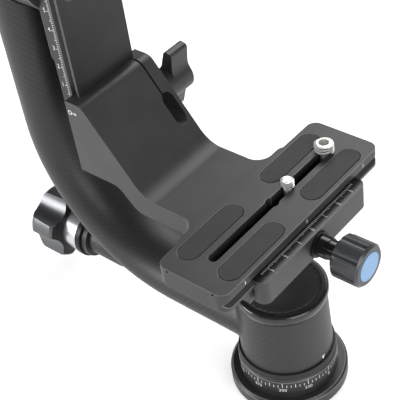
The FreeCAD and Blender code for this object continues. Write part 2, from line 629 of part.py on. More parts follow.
def oval_run(name, half_width, half_height, reach, rise):
    """An oval tube's filling: the run from the sleeve, the bend and the run up to the eye."""
    def oval(part, x, z, turn):
        ellipse = doc.addObject("Part::Ellipse", f"{name}_{part}_oval")
        ellipse.setExpression("MajorRadius", bound(half_width))
        ellipse.setExpression("MinorRadius", bound(half_height))
        return place(ellipse, x, "0", z, turn)

    def extrusion(part, profile, direction, length):
        run = doc.addObject("Part::Extrusion", f"{name}_{part}")
        run.Base = profile
        run.DirMode = "Custom"
        run.Dir = direction
        run.setExpression("LengthFwd", bound(length))
        run.Solid = True
        return run

    across = Rotation(Vector(0, 1, 0), 90) * Rotation(Vector(0, 0, 1), 90)
    flat = Rotation(Vector(0, 0, 1), 90)
    level = extrusion("level", oval("level", "-bend_reach", "tube_height", across), Vector(1, 0, 0), reach)
    upright = extrusion("upright", oval("upright", "upright_x", "bend_height", flat), Vector(0, 0, 1), rise)
    bend = doc.addObject("Part::Revolution", name + "_bend")
    bend.Source = oval("bend", "-bend_reach", "tube_height", across)
    bend.Axis = Vector(0, 1, 0)
    bend.setExpression("Base.x", bound("-bend_reach"))
    bend.setExpression("Base.z", bound("bend_height"))
    bend.Angle = 90
    bend.Solid = True
    return [level, bend, upright]


sleeve = cone("arm_sleeve", "sleeve_foot_radius", "sleeve_head_radius", "sleeve_height", z="sleeve_base")
boss = cylinder("arm_boss", "boss_radius", "boss_face - boss_end", "boss_x", z="lock_height", turn=ALONG_X)
boss_nose = cone("arm_boss_nose", "boss_radius", "boss_tip_radius", "boss_end - boss_tip",
                 "-boss_end", z="lock_height", turn=ALONG_X)
eye = cylinder("arm_eye", "eye_radius", "2 * eye_half_length", "eye_outer", z="tilt_height", turn=ALONG_X)
arm_blank = fuse("arm_blank", [sleeve, boss, boss_nose, eye]
                 + oval_run("arm_outer", "tube_half_width", "tube_half_height", "bend_reach", "upright_run"))
doc.recompute()
arm_solid = doc.addObject("Part::Fillet", "arm_solid")
arm_solid.Base = arm_blank
arm_solid.Edges = [(index, size("sleeve_blend"), size("sleeve_blend"))
                   for index, edge in enumerate(arm_blank.Shape.Edges, start=1)
                   if edge.BoundBox.XMax < 0 and edge.BoundBox.XMin > -size("sleeve_foot_radius")
                   and edge.BoundBox.ZLength > size("tube_half_height")]
arm_screw_places = ring_places("plate_screw_count", "(eye_bore + eye_radius) / 2")
screw_holes = [cylinder(f"arm_screw_hole_{number}", "plate_screw_radius + fit", "plate_screw_bite + fit",
                        "eye_outer", y, f"tilt_height + {z}", ALONG_X)
               for number, (y, z) in enumerate(arm_screw_places)]
arm_hollow = fuse("arm_hollow", [
    cylinder("sleeve_hole", "sleeve_bore", "sleeve_height", z="sleeve_base"),
    cylinder("bush_hole", "lock_bush_radius + fit", "lock_bush_length", "boss_x", z="lock_height",
             turn=ALONG_X),
    cylinder("rod_hole", "rod_channel", "boss_face - sleeve_bore / 2", "boss_x", z="lock_height",
             turn=ALONG_X),
    cylinder("pad_hole", "pad_radius + run", "sleeve_bore / 2", "pad_tail - pad_travel - gap",
             z="lock_height", turn=ALONG_X),
    cylinder("eye_hole", "eye_bore", "2 * eye_half_length", "eye_outer", z="tilt_height", turn=ALONG_X)]
    + oval_run("arm_inner", "void_half_width", "void_half_height", "bend_reach - sleeve_bore / 2", "void_run")
    + screw_holes)
piece(cut("main_arm", arm_solid, arm_hollow), "main_arm")

# ---- Pan lock: flanged bush in the boss, washer, lobed knob, long rod and brake pad ----

piece(turned("lock_bush", [
    ("lock_rod_radius + run", "-lock_bush_flange_thick"), ("lock_bush_flange", "-lock_bush_flange_thick"),
    ("lock_bush_flange", "0"), ("lock_bush_radius", "0"), ("lock_bush_radius", "lock_bush_length"),
    ("lock_rod_radius + run", "lock_bush_length")],
    "boss_x", z="lock_height", turn=ALONG_X), "lock_bush")
piece(tube("lock_washer", "lock_washer_radius", "lock_rod_radius + fit", "lock_washer_thick - slide_gap",
           "lock_washer_x", z="lock_height", turn=ALONG_X), "lock_washer")
piece(cylinder("brake_pad", "pad_radius", "pad_length", "pad_tail", z="lock_height", turn=ALONG_X),
      "brake_pad")
piece(cylinder("lock_rod", "lock_rod_radius", "pad_tail - lock_hub_x + lock_rod_grip",
               "lock_hub_x - lock_rod_grip", z="lock_height", turn=ALONG_X), "lock_rod")


def lobed_knob(name, grip, grip_length, hub, waist, hub_length, lobes, scallop, bite, hole, hole_depth,
               recess, recess_depth, x, z, turn):
    """A moulded knob along -X: its hub starts at x; its scalloped grip is rounded most on the far side."""
    body = new_body(name)
    section = new_sketch(body, name + "_section", "XZ_Plane")
    end = f"{hub_length} + {grip_length}"
    edge = "knob_edge"
    polygon(section, [
        (hole, "0"), (hub, "0"), (waist, f"{hub_length} - {edge}"), (f"{grip} - 2 * {edge}", hub_length),
        (grip, hub_length), (grip, end),
        (recess, end), (recess, f"{end} - {recess_depth}"), ("0", f"{end} - {recess_depth}"),
        ("0", hole_depth), (hole, hole_depth)])
    revolve(body, section)
    for level, rounding in ((hub_length, "knob_nose"), (end, "knob_crown")):
        fillet(body, rounding, lambda rim: near(rim.BoundBox.ZMin, level) and near(rim.BoundBox.ZLength, "0")
               and near(rim.BoundBox.XLength, f"2 * {grip}"))
    scallops = new_sketch(body, name + "_scallop", "XY_Plane", f"{hub_length} - {edge}")
    circle(scallops, f"{grip} + {scallop} - {bite}", "0", scallop)
    one = pocket(body, scallops, f"{grip_length} + 2 * {edge}", reverse=True)
    one.setExpression("TaperAngle", bound("-scallop_taper"))
    repeat(body, one, lobes)
    place(body, x, "0", z, ALONG_MINUS_X * Rotation(Vector(0, 0, 1), size(turn)))
    return piece(body, name)


lobed_knob("lock_knob", "lock_grip_radius", "lock_grip_length", "lock_hub_radius", "lock_hub_waist",
           "lock_hub_length", "lock_lobes", "lock_scallop", "lock_scallop_bite",
           "lock_rod_radius + fit", "lock_hub_length + lock_rod_grip + fit", "lock_dish_radius", "knob_edge",
           "lock_washer_x", "lock_height", "lock_turn")

# ---- Tilt pivot in the arm's eye ----

piece(turned("tilt_housing", [
    ("tilt_bearing_radius", "0"), ("eye_bore - fit", "0"), ("eye_bore - fit", "2 * eye_half_length"),
    ("tilt_bearing_radius", "2 * eye_half_length"),
    ("tilt_bearing_radius", "2 * eye_half_length - tilt_bearing_inset - bearing_width"),
    ("tilt_housing_ledge", "2 * eye_half_length - tilt_bearing_inset - bearing_width"),
    ("tilt_housing_ledge", "tilt_bearing_inset + bearing_width"),
    ("tilt_bearing_radius", "tilt_bearing_inset + bearing_width")],
    "eye_outer", z="tilt_height", turn=ALONG_X), "tilt_housing")
TILT_BEARINGS = [("outer_bearing_x", "0", "tilt_height"), ("inner_bearing_x", "0", "tilt_height")]
races("tilt_inner_races", "tilt_inner_race", "tilt_shaft_radius + fit", TILT_BEARINGS, ALONG_X)
races("tilt_outer_races", "tilt_bearing_radius - fit", "tilt_outer_race", TILT_BEARINGS, ALONG_X)
tilt_balls = [ball(f"tilt_ball_{row}_{number}", "tilt_ball_radius", f"{start} + bearing_width / 2", y,
                   f"tilt_height + {z}")
              for row, (start, _, _) in enumerate(TILT_BEARINGS)
              for number, (y, z) in enumerate(ring_places("tilt_ball_count", "tilt_ball_pitch"))]
piece(group("tilt_balls", tilt_balls), "tilt_balls")
piece(tube("friction_disc", "friction_radius", "friction_bore", "friction_thick", "eye_inner",
           z="tilt_height", turn=ALONG_X), "friction_disc")
end_plate_holes = [cylinder(f"end_plate_hole_{number}", "plate_screw_radius + fit", "end_plate_thick",
                            "end_plate_x", y, f"tilt_height + {z}", ALONG_X)
                   for number, (y, z) in enumerate(ring_places("plate_screw_count",
                                                               "(eye_bore + eye_radius) / 2"))]
piece(cut("tilt_end_plate", tube("end_plate_disc", "eye_radius", "end_plate_bore", "end_plate_thick",
                                 "end_plate_x", z="tilt_height", turn=ALONG_X),
          fuse("end_plate_holes", end_plate_holes)), "tilt_end_plate")
plate_screws = [fuse(f"plate_screw_{number}", [
    cylinder(f"plate_screw_shank_{number}", "plate_screw_radius", "end_plate_thick + plate_screw_bite",
             "end_plate_x", y, f"tilt_height + {z}", ALONG_X),
    cylinder(f"plate_screw_head_{number}", "plate_screw_head", "plate_screw_head_height",
             "end_plate_x - plate_screw_head_height", y, f"tilt_height + {z}", ALONG_X)])
    for number, (y, z) in enumerate(ring_places("plate_screw_count", "(eye_bore + eye_radius) / 2"))]
piece(group("end_plate_screws", plate_screws), "end_plate_screws")

# ---- Tilt shaft, hub, thrust washer and tilt knob ----

shaft_run = cylinder("shaft_run", "tilt_shaft_radius", "hub_front - hub_skin - end_plate_x - slide_gap",
                     "end_plate_x + slide_gap", z="tilt_height", turn=ALONG_X)
shaft_stud = cylinder("shaft_stud", "stud_radius", "end_plate_x + gap - thrust_x + stud_grip",
                      "thrust_x - stud_grip", z="tilt_height", turn=ALONG_X)
piece(fuse("tilt_shaft", [shaft_run, shaft_stud]), "tilt_shaft")

BAR_SCREWS = [(f"{across} * bar_screw_pitch", f"tilt_height + {up} * bar_screw_pitch")
              for across in (-1, 1) for up in (-1, 1)]
hub_holes = [cylinder(f"hub_hole_{number}", "bar_screw_radius + fit", "bar_screw_bite", "hub_front", y, z,
                      ALONG_MINUS_X) for number, (y, z) in enumerate(BAR_SCREWS)]
shaft_seat = cylinder("shaft_seat", "tilt_shaft_radius + fit", "hub_front - hub_skin - hub_back", "hub_back",
                      z="tilt_height", turn=ALONG_X)
hub_disc = cylinder("hub_disc", "hub_radius", "hub_front - hub_back", "hub_back", z="tilt_height",
                    turn=ALONG_X)
piece(cut("swing_hub", hub_disc, fuse("hub_cuts", [shaft_seat] + hub_holes)), "swing_hub")

piece(tube("thrust_washer", "thrust_radius", "stud_radius + run", "thrust_thick", "thrust_x",
           z="tilt_height", turn=ALONG_X), "thrust_washer")
lobed_knob("tilt_knob", "tilt_grip_radius", "tilt_grip_length", "tilt_hub_radius", "tilt_hub_waist",
           "tilt_hub_length", "tilt_lobes", "tilt_scallop", "tilt_scallop_bite",
           "tilt_insert_radius + fit", "tilt_insert_length + fit", "badge_radius", "badge_thick",
           "thrust_x", "tilt_height", "tilt_turn")
piece(tube("tilt_knob_insert", "tilt_insert_radius", "stud_radius + run", "tilt_insert_length",
           "thrust_x - tilt_insert_length", z="tilt_height", turn=ALONG_X), "tilt_knob_insert")
piece(cylinder("tilt_knob_disc", "badge_radius - fit", "badge_thick + badge_proud",
               "tilt_knob_end - badge_proud", z="tilt_height", turn=ALONG_X), "tilt_knob_disc")

# ---- Swing bar with V grooves, its screws and its stop screw ----

bar = new_body("swing_bar")
bar_section = new_sketch(bar, "bar_section", "XY_Plane", "bar_bottom")
polygon(bar_section, [
    ("bar_front", "-bar_half_width"), ("bar_front", "bar_half_width"), ("lip_back", "bar_half_width"),
    ("groove_bottom_x", "bar_half_width - bar_groove"), ("groove_back", "bar_half_width"),
    ("bar_back", "bar_half_width"), ("bar_back", "-bar_half_width"), ("groove_back", "-bar_half_width"),
    ("groove_bottom_x", "-bar_half_width + bar_groove"), ("lip_back", "-bar_half_width")])
pad(bar, bar_section, "bar_top - bar_bottom")
bar_back_pad = new_sketch(bar, "bar_back_pad", "XY_Plane", "bar_pad_bottom")
rectangle(bar_back_pad, "hub_front", "bar_back + bar_lip", "-bar_half_width", "bar_half_width")
pad(bar, bar_back_pad, "bar_top - bar_pad_bottom")
bar_corners = new_sketch(bar, "bar_corners", "YZ_Plane", "hub_front - gap")
for side in ("", "-"):
    polygon(bar_corners, [(side + "bar_half_width", "bar_top - bar_corner"),
                          (side + "bar_half_width", "bar_top"), (side + "bar_shoulder", "bar_top")])
pocket(bar, bar_corners, "bar_thick + 2 * bar_pad_thick", reverse=True)
bar_holes = new_sketch(bar, "bar_holes", "YZ_Plane", "bar_front")
for across, up in BAR_SCREWS:
    circle(bar_holes, across, up, "bar_screw_radius + fit")
pocket(bar, bar_holes, "bar_thick + bar_pad_thick")
bar_sinks = new_sketch(bar, "bar_sinks", "YZ_Plane", "bar_front")
for across, up in BAR_SCREWS:
    circle(bar_sinks, across, up, "bar_screw_head + fit")
pocket(bar, bar_sinks, "bar_screw_head - bar_screw_radius + fit")
stop_hole = new_sketch(bar, "stop_hole", "YZ_Plane", "bar_front")
circle(stop_hole, "0", "stop_height", "stop_radius + fit")
pocket(bar, stop_hole, "stop_bite + fit")
piece(bar, "swing_bar")

bar_screws = [countersunk(f"bar_screw_{number}", "bar_screw_radius", "bar_screw_head",
                          "bar_thick + bar_pad_thick + bar_screw_bite - gap", "bar_front", y, z,
                          ALONG_MINUS_X)
              for number, (y, z) in enumerate(BAR_SCREWS)]
piece(group("bar_screws", bar_screws), "bar_screws")
piece(fuse("stop_screw", [
    cylinder("stop_shank", "stop_radius", "stop_bite", "bar_front", z="stop_height", turn=ALONG_MINUS_X),
    cylinder("stop_button", "stop_head", "stop_proud", "bar_front", z="stop_height", turn=ALONG_X)]),
    "stop_screw")

# ---- Cradle: wedge-shaped upright, shelf and fixed jaw machined from one block ----

cradle = new_body("cradle")
cradle_side = new_sketch(cradle, "cradle_side", "XZ_Plane")
polygon(cradle_side, [
    ("-cradle_back", "deck_height"), ("-cradle_back", "upright_top"), ("-wedge_top", "upright_top"),
    ("-wedge_foot", "deck_height"), ("-block_back + shelf_overlap", "deck_height"),
    ("-block_back + shelf_overlap", "shelf_base"), ("-under_front", "shelf_base"),
    ("-under_back", "deck_height")])
pad(cradle, cradle_side, "2 * cradle_half_width", symmetric=True)
fillet(cradle, "wedge_round", lambda edge: cross_edge(edge, "-wedge_top", "upright_top"))
fillet(cradle, "wedge_blend", lambda edge: cross_edge(edge, "-wedge_foot", "deck_height"))
fillet(cradle, "under_blend", lambda edge: cross_edge(edge, "-under_front", "shelf_base")
       or cross_edge(edge, "-under_back", "deck_height"))
block_side = new_sketch(cradle, "block_side", "XZ_Plane")
polygon(block_side, [
    ("-block_back", "block_base"), ("-block_back", "deck_height"), ("-lip_tip", "deck_height"),
    ("-lip_tip", "lip_under"), ("-recess_face", "lip_under - recess_face + lip_tip"),
    ("-recess_face", "plate_bottom"), ("block_front", "plate_bottom"), ("block_front", "block_base")])
pad(cradle, block_side, "2 * block_half_width", symmetric=True)
fillet(cradle, "block_blend", lambda edge: upright_edge(edge, "-block_back", "cradle_half_width")
       or upright_edge(edge, "-block_back", "-cradle_half_width"))
fillet(cradle, "block_corner", lambda edge: upright_edge(edge, "-block_back", "block_half_width")
       or upright_edge(edge, "-block_back", "-block_half_width"))

channel = new_sketch(cradle, "channel", "XY_Plane", "deck_height - gap")
CHANNEL = [("bar_front + slide_gap", "channel_half"), ("hook_front", "channel_half"),
           ("hook_tip_x", "hook_half"), ("hook_back_x", "hook_half"), ("hook_end_x", "channel_half")]
polygon(channel, CHANNEL + [(x, "-" + y) for x, y in reversed(CHANNEL)])
pocket(cradle, channel, "upright_rise + 2 * gap", reverse=True)

stop_way = new_sketch(cradle, "stop_way", "YZ_Plane", "bar_front")
rectangle(stop_way, "-stop_head - gap", "stop_head + gap", "deck_height - gap",
          "stop_height + stop_head + cradle_travel_down + gap")
pocket(cradle, stop_way, "stop_proud + gap", reverse=True)

slit = new_sketch(cradle, "slit", "YZ_Plane", "-cradle_back")
rectangle(slit, "slit_middle - slit_width / 2", "slit_middle + slit_width / 2", "relief_low", "upright_top")
pocket(cradle, slit, "cradle_back", reverse=True)
relief = new_sketch(cradle, "relief", "YZ_Plane", "-relief_back")
stadium(relief, "slit_middle + relief_shift", "relief_low + relief_width / 2",
        "relief_high - relief_width / 2", "relief_width / 2")
pocket(cradle, relief, "relief_back", reverse=True)

jaw_clear = new_sketch(cradle, "jaw_clear", "XZ_Plane", "-cradle_half_width")
circle(jaw_clear, "-cradle_knob_x", "cradle_knob_z", "cradle_stud_radius + cradle_stud_clear")
pocket(cradle, jaw_clear, "cradle_half_width - slit_middle", reverse=True)
stud_seat = new_sketch(cradle, "stud_seat", "XZ_Plane", "-slit_middle")
circle(stud_seat, "-cradle_knob_x", "cradle_knob_z", "cradle_stud_radius + run")
pocket(cradle, stud_seat, "cradle_stud_bite + gap", reverse=True)

clamp_hole = new_sketch(cradle, "clamp_hole", "YZ_Plane", "block_front")
circle(clamp_hole, "0", "clamp_axis", "clamp_screw_radius + run")
pocket(cradle, clamp_hole, "clamp_screw_bite + gap")
guide_holes = new_sketch(cradle, "guide_holes", "YZ_Plane", "block_front")
for side in ("-", ""):
    circle(guide_holes, side + "guide_offset", "guide_height", "guide_radius + run")
pocket(cradle, guide_holes, "guide_bite + guide_spare")
piece(cradle, "cradle")

# ---- Cradle knob: washer, stud and two-winged knob ----

piece(tube("cradle_washer", "cradle_washer_radius", "cradle_stud_radius + run",
           "cradle_washer_thick - slide_gap", "-cradle_knob_x", "cradle_half_width + slide_gap",
           "cradle_knob_z", ALONG_Y), "cradle_washer")
piece(cylinder("cradle_stud", "cradle_stud_radius",
               "wing_y + cradle_stud_grip - slit_middle + cradle_stud_bite",
               "-cradle_knob_x", "slit_middle - cradle_stud_bite", "cradle_knob_z", ALONG_Y), "cradle_stud")

wing = new_body("cradle_knob")
wing_hub = new_sketch(wing, "wing_hub", "XY_Plane")
circle(wing_hub, "0", "0", "cradle_hub_radius")
pad(wing, wing_hub, "cradle_hub_length + wing_thick")
wing_outline = new_sketch(wing, "wing_outline", "XY_Plane", "cradle_hub_length")
polygon(wing_outline, [
    ("-wing_root", "0"), ("-wing_tip", "-wing_reach"), ("wing_tip", "-wing_reach"), ("wing_root", "0"),
    ("wing_tip", "wing_reach"), ("-wing_tip", "wing_reach")])
pad(wing, wing_outline, "wing_thick")
fillet(wing, "wing_round", lambda edge: near(edge.BoundBox.ZLength, "wing_thick")
       and near(abs(edge.BoundBox.YMin), "wing_reach"))
fillet(wing, "wing_hollow", lambda edge: near(edge.BoundBox.ZLength, "wing_thick")
       and edge.BoundBox.XLength < size("fit") and abs(edge.BoundBox.YMin) < size("cradle_hub_radius")
       and abs(edge.BoundBox.XMin) > size("wing_tip"))
wing_bore = new_sketch(wing, "wing_bore", "XY_Plane")
circle(wing_bore, "0", "0", "cradle_stud_radius + fit")
pocket(wing, wing_bore, "cradle_hub_length + cradle_stud_grip + fit", reverse=True)
place(wing, "-cradle_knob_x", "cradle_washer_y", "cradle_knob_z",
      Rotation(Vector(0, 1, 0), size("wing_tilt")) * ALONG_Y)
piece(wing, "cradle_knob")

# ---- Clamp jaw with its guide pins ----

jaw = new_body("clamp_jaw")
jaw_side = new_sketch(jaw, "jaw_side", "XZ_Plane")
polygon(jaw_side, [
    ("jaw_face", "jaw_base"), ("jaw_face", "deck_height"), ("lip_tip", "deck_height"),
    ("lip_tip", "lip_under"), ("recess_face", "lip_under - recess_face + lip_tip"),
    ("recess_face", "plate_bottom - slide_gap"), ("jaw_back", "plate_bottom - slide_gap"),
    ("jaw_back", "jaw_base")])
pad(jaw, jaw_side, "2 * jaw_half_width", symmetric=True)
fillet(jaw, "jaw_corner", lambda edge: upright_edge(edge, "jaw_face", "jaw_half_width")
       or upright_edge(edge, "jaw_face", "-jaw_half_width"))
jaw_hole = new_sketch(jaw, "jaw_hole", "YZ_Plane", "jaw_face")
circle(jaw_hole, "0", "clamp_axis", "clamp_screw_radius + clamp_screw_clear")
pocket(jaw, jaw_hole, "jaw_face - block_front")
pin_seats = new_sketch(jaw, "pin_seats", "YZ_Plane", "jaw_back")
for side in ("-", ""):
    circle(pin_seats, side + "guide_offset", "guide_height", "guide_radius + fit")
pocket(jaw, pin_seats, "guide_seat + fit", reverse=True)
piece(jaw, "clamp_jaw")
guide_pins = [cylinder(f"guide_pin_{number}", "guide_radius", "guide_bite + jaw_gap + guide_seat",
                       "block_front - guide_bite", side + "guide_offset", "guide_height", ALONG_X)
              for number, side in enumerate(("-", ""))]
piece(group("guide_pins", guide_pins), "guide_pins")

# ---- Clamp screw, washer, fluted knob and its end disc ----

piece(cylinder("clamp_screw", "clamp_screw_radius",
               "clamp_washer_x + clamp_screw_grip - block_front + clamp_screw_bite",
               "block_front - clamp_screw_bite", z="clamp_axis", turn=ALONG_X), "clamp_screw")
piece(tube("clamp_washer", "clamp_washer_radius", "clamp_screw_radius + run",
           "clamp_washer_thick - slide_gap", "jaw_face", z="clamp_axis", turn=ALONG_X), "clamp_washer")

knob = new_body("clamp_knob")
knob_section = new_sketch(knob, "knob_section", "XZ_Plane")
grip_end = "shank_length + clamp_grip_length"
polygon(knob_section, [
    ("clamp_screw_radius + fit", "0"), ("shank_radius", "0"), ("shank_radius", "shank_step_length"),
    ("shank_step", "shank_step_length"), ("shank_step", "shank_length"),
    ("clamp_grip_radius - clamp_grip_edge", "shank_length"),
    ("clamp_grip_radius", "shank_length + clamp_grip_edge"),
    ("clamp_grip_radius", grip_end + " - clamp_grip_edge"),
    ("clamp_grip_radius - clamp_grip_edge", grip_end), ("disc_radius + fit", grip_end),
    ("disc_radius + fit", grip_end + " - disc_thick"), ("0", grip_end + " - disc_thick"),
    ("0", "clamp_screw_grip + fit"), ("clamp_screw_radius + fit", "clamp_screw_grip + fit")])
revolve(knob, knob_section)
flute = new_sketch(knob, "flute", "XY_Plane", "shank_length")
circle(flute, "clamp_grip_radius + flute_radius - flute_bite", "0", "flute_radius")
one_flute = pocket(knob, flute, "clamp_grip_length - clamp_grip_edge", reverse=True)
repeat(knob, one_flute, "clamp_flutes")
place(knob, "clamp_washer_x", "0", "clamp_axis", ALONG_X)
piece(knob, "clamp_knob")
piece(cylinder("knob_disc", "disc_radius", "disc_thick + disc_proud", "clamp_knob_end - disc_thick",
               z="clamp_axis", turn=ALONG_X), "knob_disc")

# ---- Lens plate with its pads and stop pins ----

plate = new_body("lens_plate")
plate_outline = new_sketch(plate, "plate_outline", "XY_Plane", "plate_bottom")
rectangle(plate_outline, "-plate_half_width", "plate_half_width", "-plate_length / 2", "plate_length / 2")
pad(plate, plate_outline, "plate_thick")
fillet(plate, "plate_corner", lambda edge: edge.BoundBox.ZLength > size("plate_thick") - 0.01)
side_grooves = new_sketch(plate, "side_grooves", "XZ_Plane")
for side in ("", "-"):
    polygon(side_grooves, [(side + "plate_half_width", "groove_low"),
                           (side + "groove_vertex", "groove_middle"),
                           (side + "plate_half_width", "groove_high")])
pocket(plate, side_grooves, "plate_length", symmetric=True)
slot = new_sketch(plate, "slot", "XY_Plane", "plate_top")
stadium(slot, "0", "-slot_reach", "slot_reach", "slot_radius")
pocket(plate, slot, "plate_thick")
entry = new_sketch(plate, "entry", "XY_Plane", "plate_top")
circle(entry, "0", "0", "entry_radius")
pocket(plate, entry, "plate_thick")
under_channel = new_sketch(plate, "under_channel", "XY_Plane", "plate_bottom")
stadium(under_channel, "0", "-channel_reach + channel_half_width", "channel_reach - channel_half_width",
        "channel_half_width")
pocket(plate, under_channel, "channel_depth", reverse=True)
pad_seats = new_sketch(plate, "pad_seats", "XY_Plane", "plate_top")
PAD_ROWS = [("-pad_far + pad_half_width", "-pad_near - pad_half_width"),
            ("pad_near + pad_half_width", "pad_far - pad_half_width")]
for side in ("-", ""):
    for low, high in PAD_ROWS:
        stadium(pad_seats, side + "pad_offset", low, high, "pad_half_width + fit")
pocket(plate, pad_seats, "pad_sunk")
end_notches = new_sketch(plate, "end_notches", "XZ_Plane", "plate_length / 2")
for side in ("-", ""):
    rectangle(end_notches, side + "notch_offset - notch_width / 2", side + "notch_offset + notch_width / 2",
              "plate_top - notch_drop", "plate_top - notch_drop / 4")
pocket(plate, end_notches, "notch_depth")
pin_holes = new_sketch(plate, "pin_holes", "XY_Plane", "plate_bottom")
STOP_PINS = [(side + "stop_pin_side", end + "stop_pin_offset") for side, end in (("-", "-"), ("", ""))]
for x, y in STOP_PINS:
    circle(pin_holes, x, y, "stop_pin_radius + fit")
pocket(plate, pin_holes, "stop_pin_bite + fit", reverse=True)
piece(plate, "lens_plate")

pad_strips = []
for side in ("-", ""):
    for low, high in PAD_ROWS:
        number = len(pad_strips)
        strip = new_body(f"plate_pad_{number}")
        strip_outline = new_sketch(strip, f"strip_{number}", "XY_Plane", "plate_top - pad_sunk")
        stadium(strip_outline, side + "pad_offset", low, high, "pad_half_width")
        pad(strip, strip_outline, "pad_sunk + pad_proud")
        pad_strips.append(strip)
piece(group("plate_pads", pad_strips), "plate_pads")
stop_pins = [cylinder(f"stop_pin_{number}", "stop_pin_radius", "stop_pin_proud + stop_pin_bite", x, y,
                      "plate_bottom - stop_pin_proud") for number, (x, y) in enumerate(STOP_PINS)]
piece(group("stop_pins", stop_pins), "stop_pins")

# ---- Lens screws: a small solid one and a large hollow one, each on its washer in the under channel ----


def lens_screw(name, radius, proud, place_y, bore, bore_depth):
    """A captive screw: slotted head under the plate, neck through the slot, thread above it."""
    top = f"plate_top + {proud}"
    body = new_body(name)
    section = new_sketch(body, name + "_section", "XZ_Plane")
    head_base = "washer_base - screw_head_thick"
    outline = [("0", head_base), ("screw_head_radius", head_base), ("screw_head_radius", "washer_base"),
               ("screw_neck", "washer_base"), ("screw_neck", "plate_top + screw_collar / 2"),
               (radius, "plate_top + screw_collar"), (radius, f"{top} - screw_collar / 2"),
               (f"{radius} - screw_collar / 2", top)]
    if bore:
        outline += [(bore, top), (bore, f"{top} - {bore_depth}"), ("0", f"{top} - {bore_depth}")]
    else:
        outline += [("0", top)]
    polygon(section, outline)
    revolve(body, section)
    driver = new_sketch(body, f"{name}_slot", "XY_Plane", head_base)
    rectangle(driver, "-head_slot_width / 2", "head_slot_width / 2",
              "-screw_head_radius", "screw_head_radius")
    pocket(body, driver, "head_slot_depth", reverse=True)
    return piece(place(body, "0", place_y), name)


lens_screw("lens_screw_small", "quarter_radius", "quarter_proud", "quarter_place", None, None)
lens_screw("lens_screw_large", "bush_radius", "bush_proud", "bush_place", "bush_bore", "bush_bore_depth")
for name, middle in (("small_screw_washer", "quarter_place"), ("large_screw_washer", "bush_place")):
    piece(tube(name, "screw_washer_radius", "screw_neck + run", "screw_washer_thick", "0", middle,
               "washer_base"), name)

# ---- Checks and export ----

doc.recompute()
faults = [thing.Label for thing in doc.Objects
          if any(state in ("Invalid", "Error") for state in thing.State)]
faults += [thing.Label for thing in PARTS if thing.Shape.isNull() or not thing.Shape.isValid()
           or not thing.Shape.Solids]
if faults:
    raise RuntimeError("broken: " + ", ".join(faults))
os.makedirs("parts", exist_ok=True)
for thing in PARTS:
    thing.Shape.exportStep(f"parts/{thing.Label}.step")
print(len(PARTS), "sub-parts")
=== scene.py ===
import math
import bpy
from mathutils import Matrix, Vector


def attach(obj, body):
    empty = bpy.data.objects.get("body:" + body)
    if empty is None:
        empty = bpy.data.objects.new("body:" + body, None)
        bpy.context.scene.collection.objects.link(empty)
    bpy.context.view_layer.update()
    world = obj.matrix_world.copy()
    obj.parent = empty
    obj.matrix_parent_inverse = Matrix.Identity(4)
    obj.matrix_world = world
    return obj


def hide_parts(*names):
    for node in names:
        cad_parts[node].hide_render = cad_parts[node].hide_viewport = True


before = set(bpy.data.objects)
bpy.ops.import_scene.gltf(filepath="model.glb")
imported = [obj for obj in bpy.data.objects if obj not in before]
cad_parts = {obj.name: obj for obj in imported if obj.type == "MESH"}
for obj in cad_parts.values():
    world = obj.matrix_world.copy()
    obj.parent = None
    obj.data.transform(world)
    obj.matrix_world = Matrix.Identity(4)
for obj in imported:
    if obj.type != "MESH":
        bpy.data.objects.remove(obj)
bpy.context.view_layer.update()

# ---- Studio ----
# A pale matt floor under a white horizon that darkens overhead, with a soft lamp low on the left, a wide one
# on the right and one high behind. The camera stands over the near right corner of the lens plate and is
# tipped a little to one side.
MM = 0.001


def clear_selection():
    """Leaves nothing selected, so that an operator acts only on what is chosen next."""
    if bpy.context.mode != "OBJECT":
        bpy.ops.object.mode_set(mode="OBJECT")
    bpy.ops.object.select_all(action="DESELECT")


def join_up(tree, *pairs):
    """Links pairs of sockets."""
    for start, end in pairs:
        tree.links.new(start, end)


FLOOR_GREY = 0.8
FLOOR_GLOW = 0.56
FLOOR_WIDTH = 8.0
FLOOR_DROP = 0.2 * MM
AIR_BANDS = ((0.0, 0.9), (0.16, 0.30), (0.5, 0.10))  # how far up the sky, and the grey there
LAMP_AIM = Vector((-0.04, 0.0, 0.1))
CAMERA_PLACE = (0.23514, -0.27225, 0.43266)
CAMERA_TURNS = (48.7967, 7.1602, 39.6364)
CAMERA_LENS = 96.25
CAMERA_SENSOR = 36.0
CAMERA_NEAREST = 0.01

clear_selection()
bpy.ops.mesh.primitive_plane_add(size=FLOOR_WIDTH, location=(0, 0, -FLOOR_DROP))
floor = bpy.context.object
floor.name = "studio_floor"
floor_paint = bpy.data.materials.new("floor_paint")
floor_paint.use_nodes = True
tree = floor_paint.node_tree
tree.nodes.clear()
matt = tree.nodes.new("ShaderNodeBsdfDiffuse")
matt.inputs["Color"].default_value = (FLOOR_GREY, FLOOR_GREY, FLOOR_GREY, 1)
glow = tree.nodes.new("ShaderNodeEmission")
ray = tree.nodes.new("ShaderNodeLightPath")
seen = tree.nodes.new("ShaderNodeMath")
seen.operation = "MAXIMUM"
seen_or_through = tree.nodes.new("ShaderNodeMath")
seen_or_through.operation = "MAXIMUM"
strength = tree.nodes.new("ShaderNodeMath")
strength.operation = "MULTIPLY"
strength.inputs[1].default_value = FLOOR_GLOW
both = tree.nodes.new("ShaderNodeAddShader")
floor_end = tree.nodes.new("ShaderNodeOutputMaterial")
join_up(tree, (ray.outputs["Is Camera Ray"], seen.inputs[0]), (ray.outputs["Is Glossy Ray"], seen.inputs[1]),
        (seen.outputs[0], seen_or_through.inputs[0]),
        (ray.outputs["Is Transmission Ray"], seen_or_through.inputs[1]),
        (seen_or_through.outputs[0], strength.inputs[0]), (strength.outputs[0], glow.inputs["Strength"]),
        (matt.outputs[0], both.inputs[0]), (glow.outputs[0], both.inputs[1]),
        (both.outputs[0], floor_end.inputs[0]))
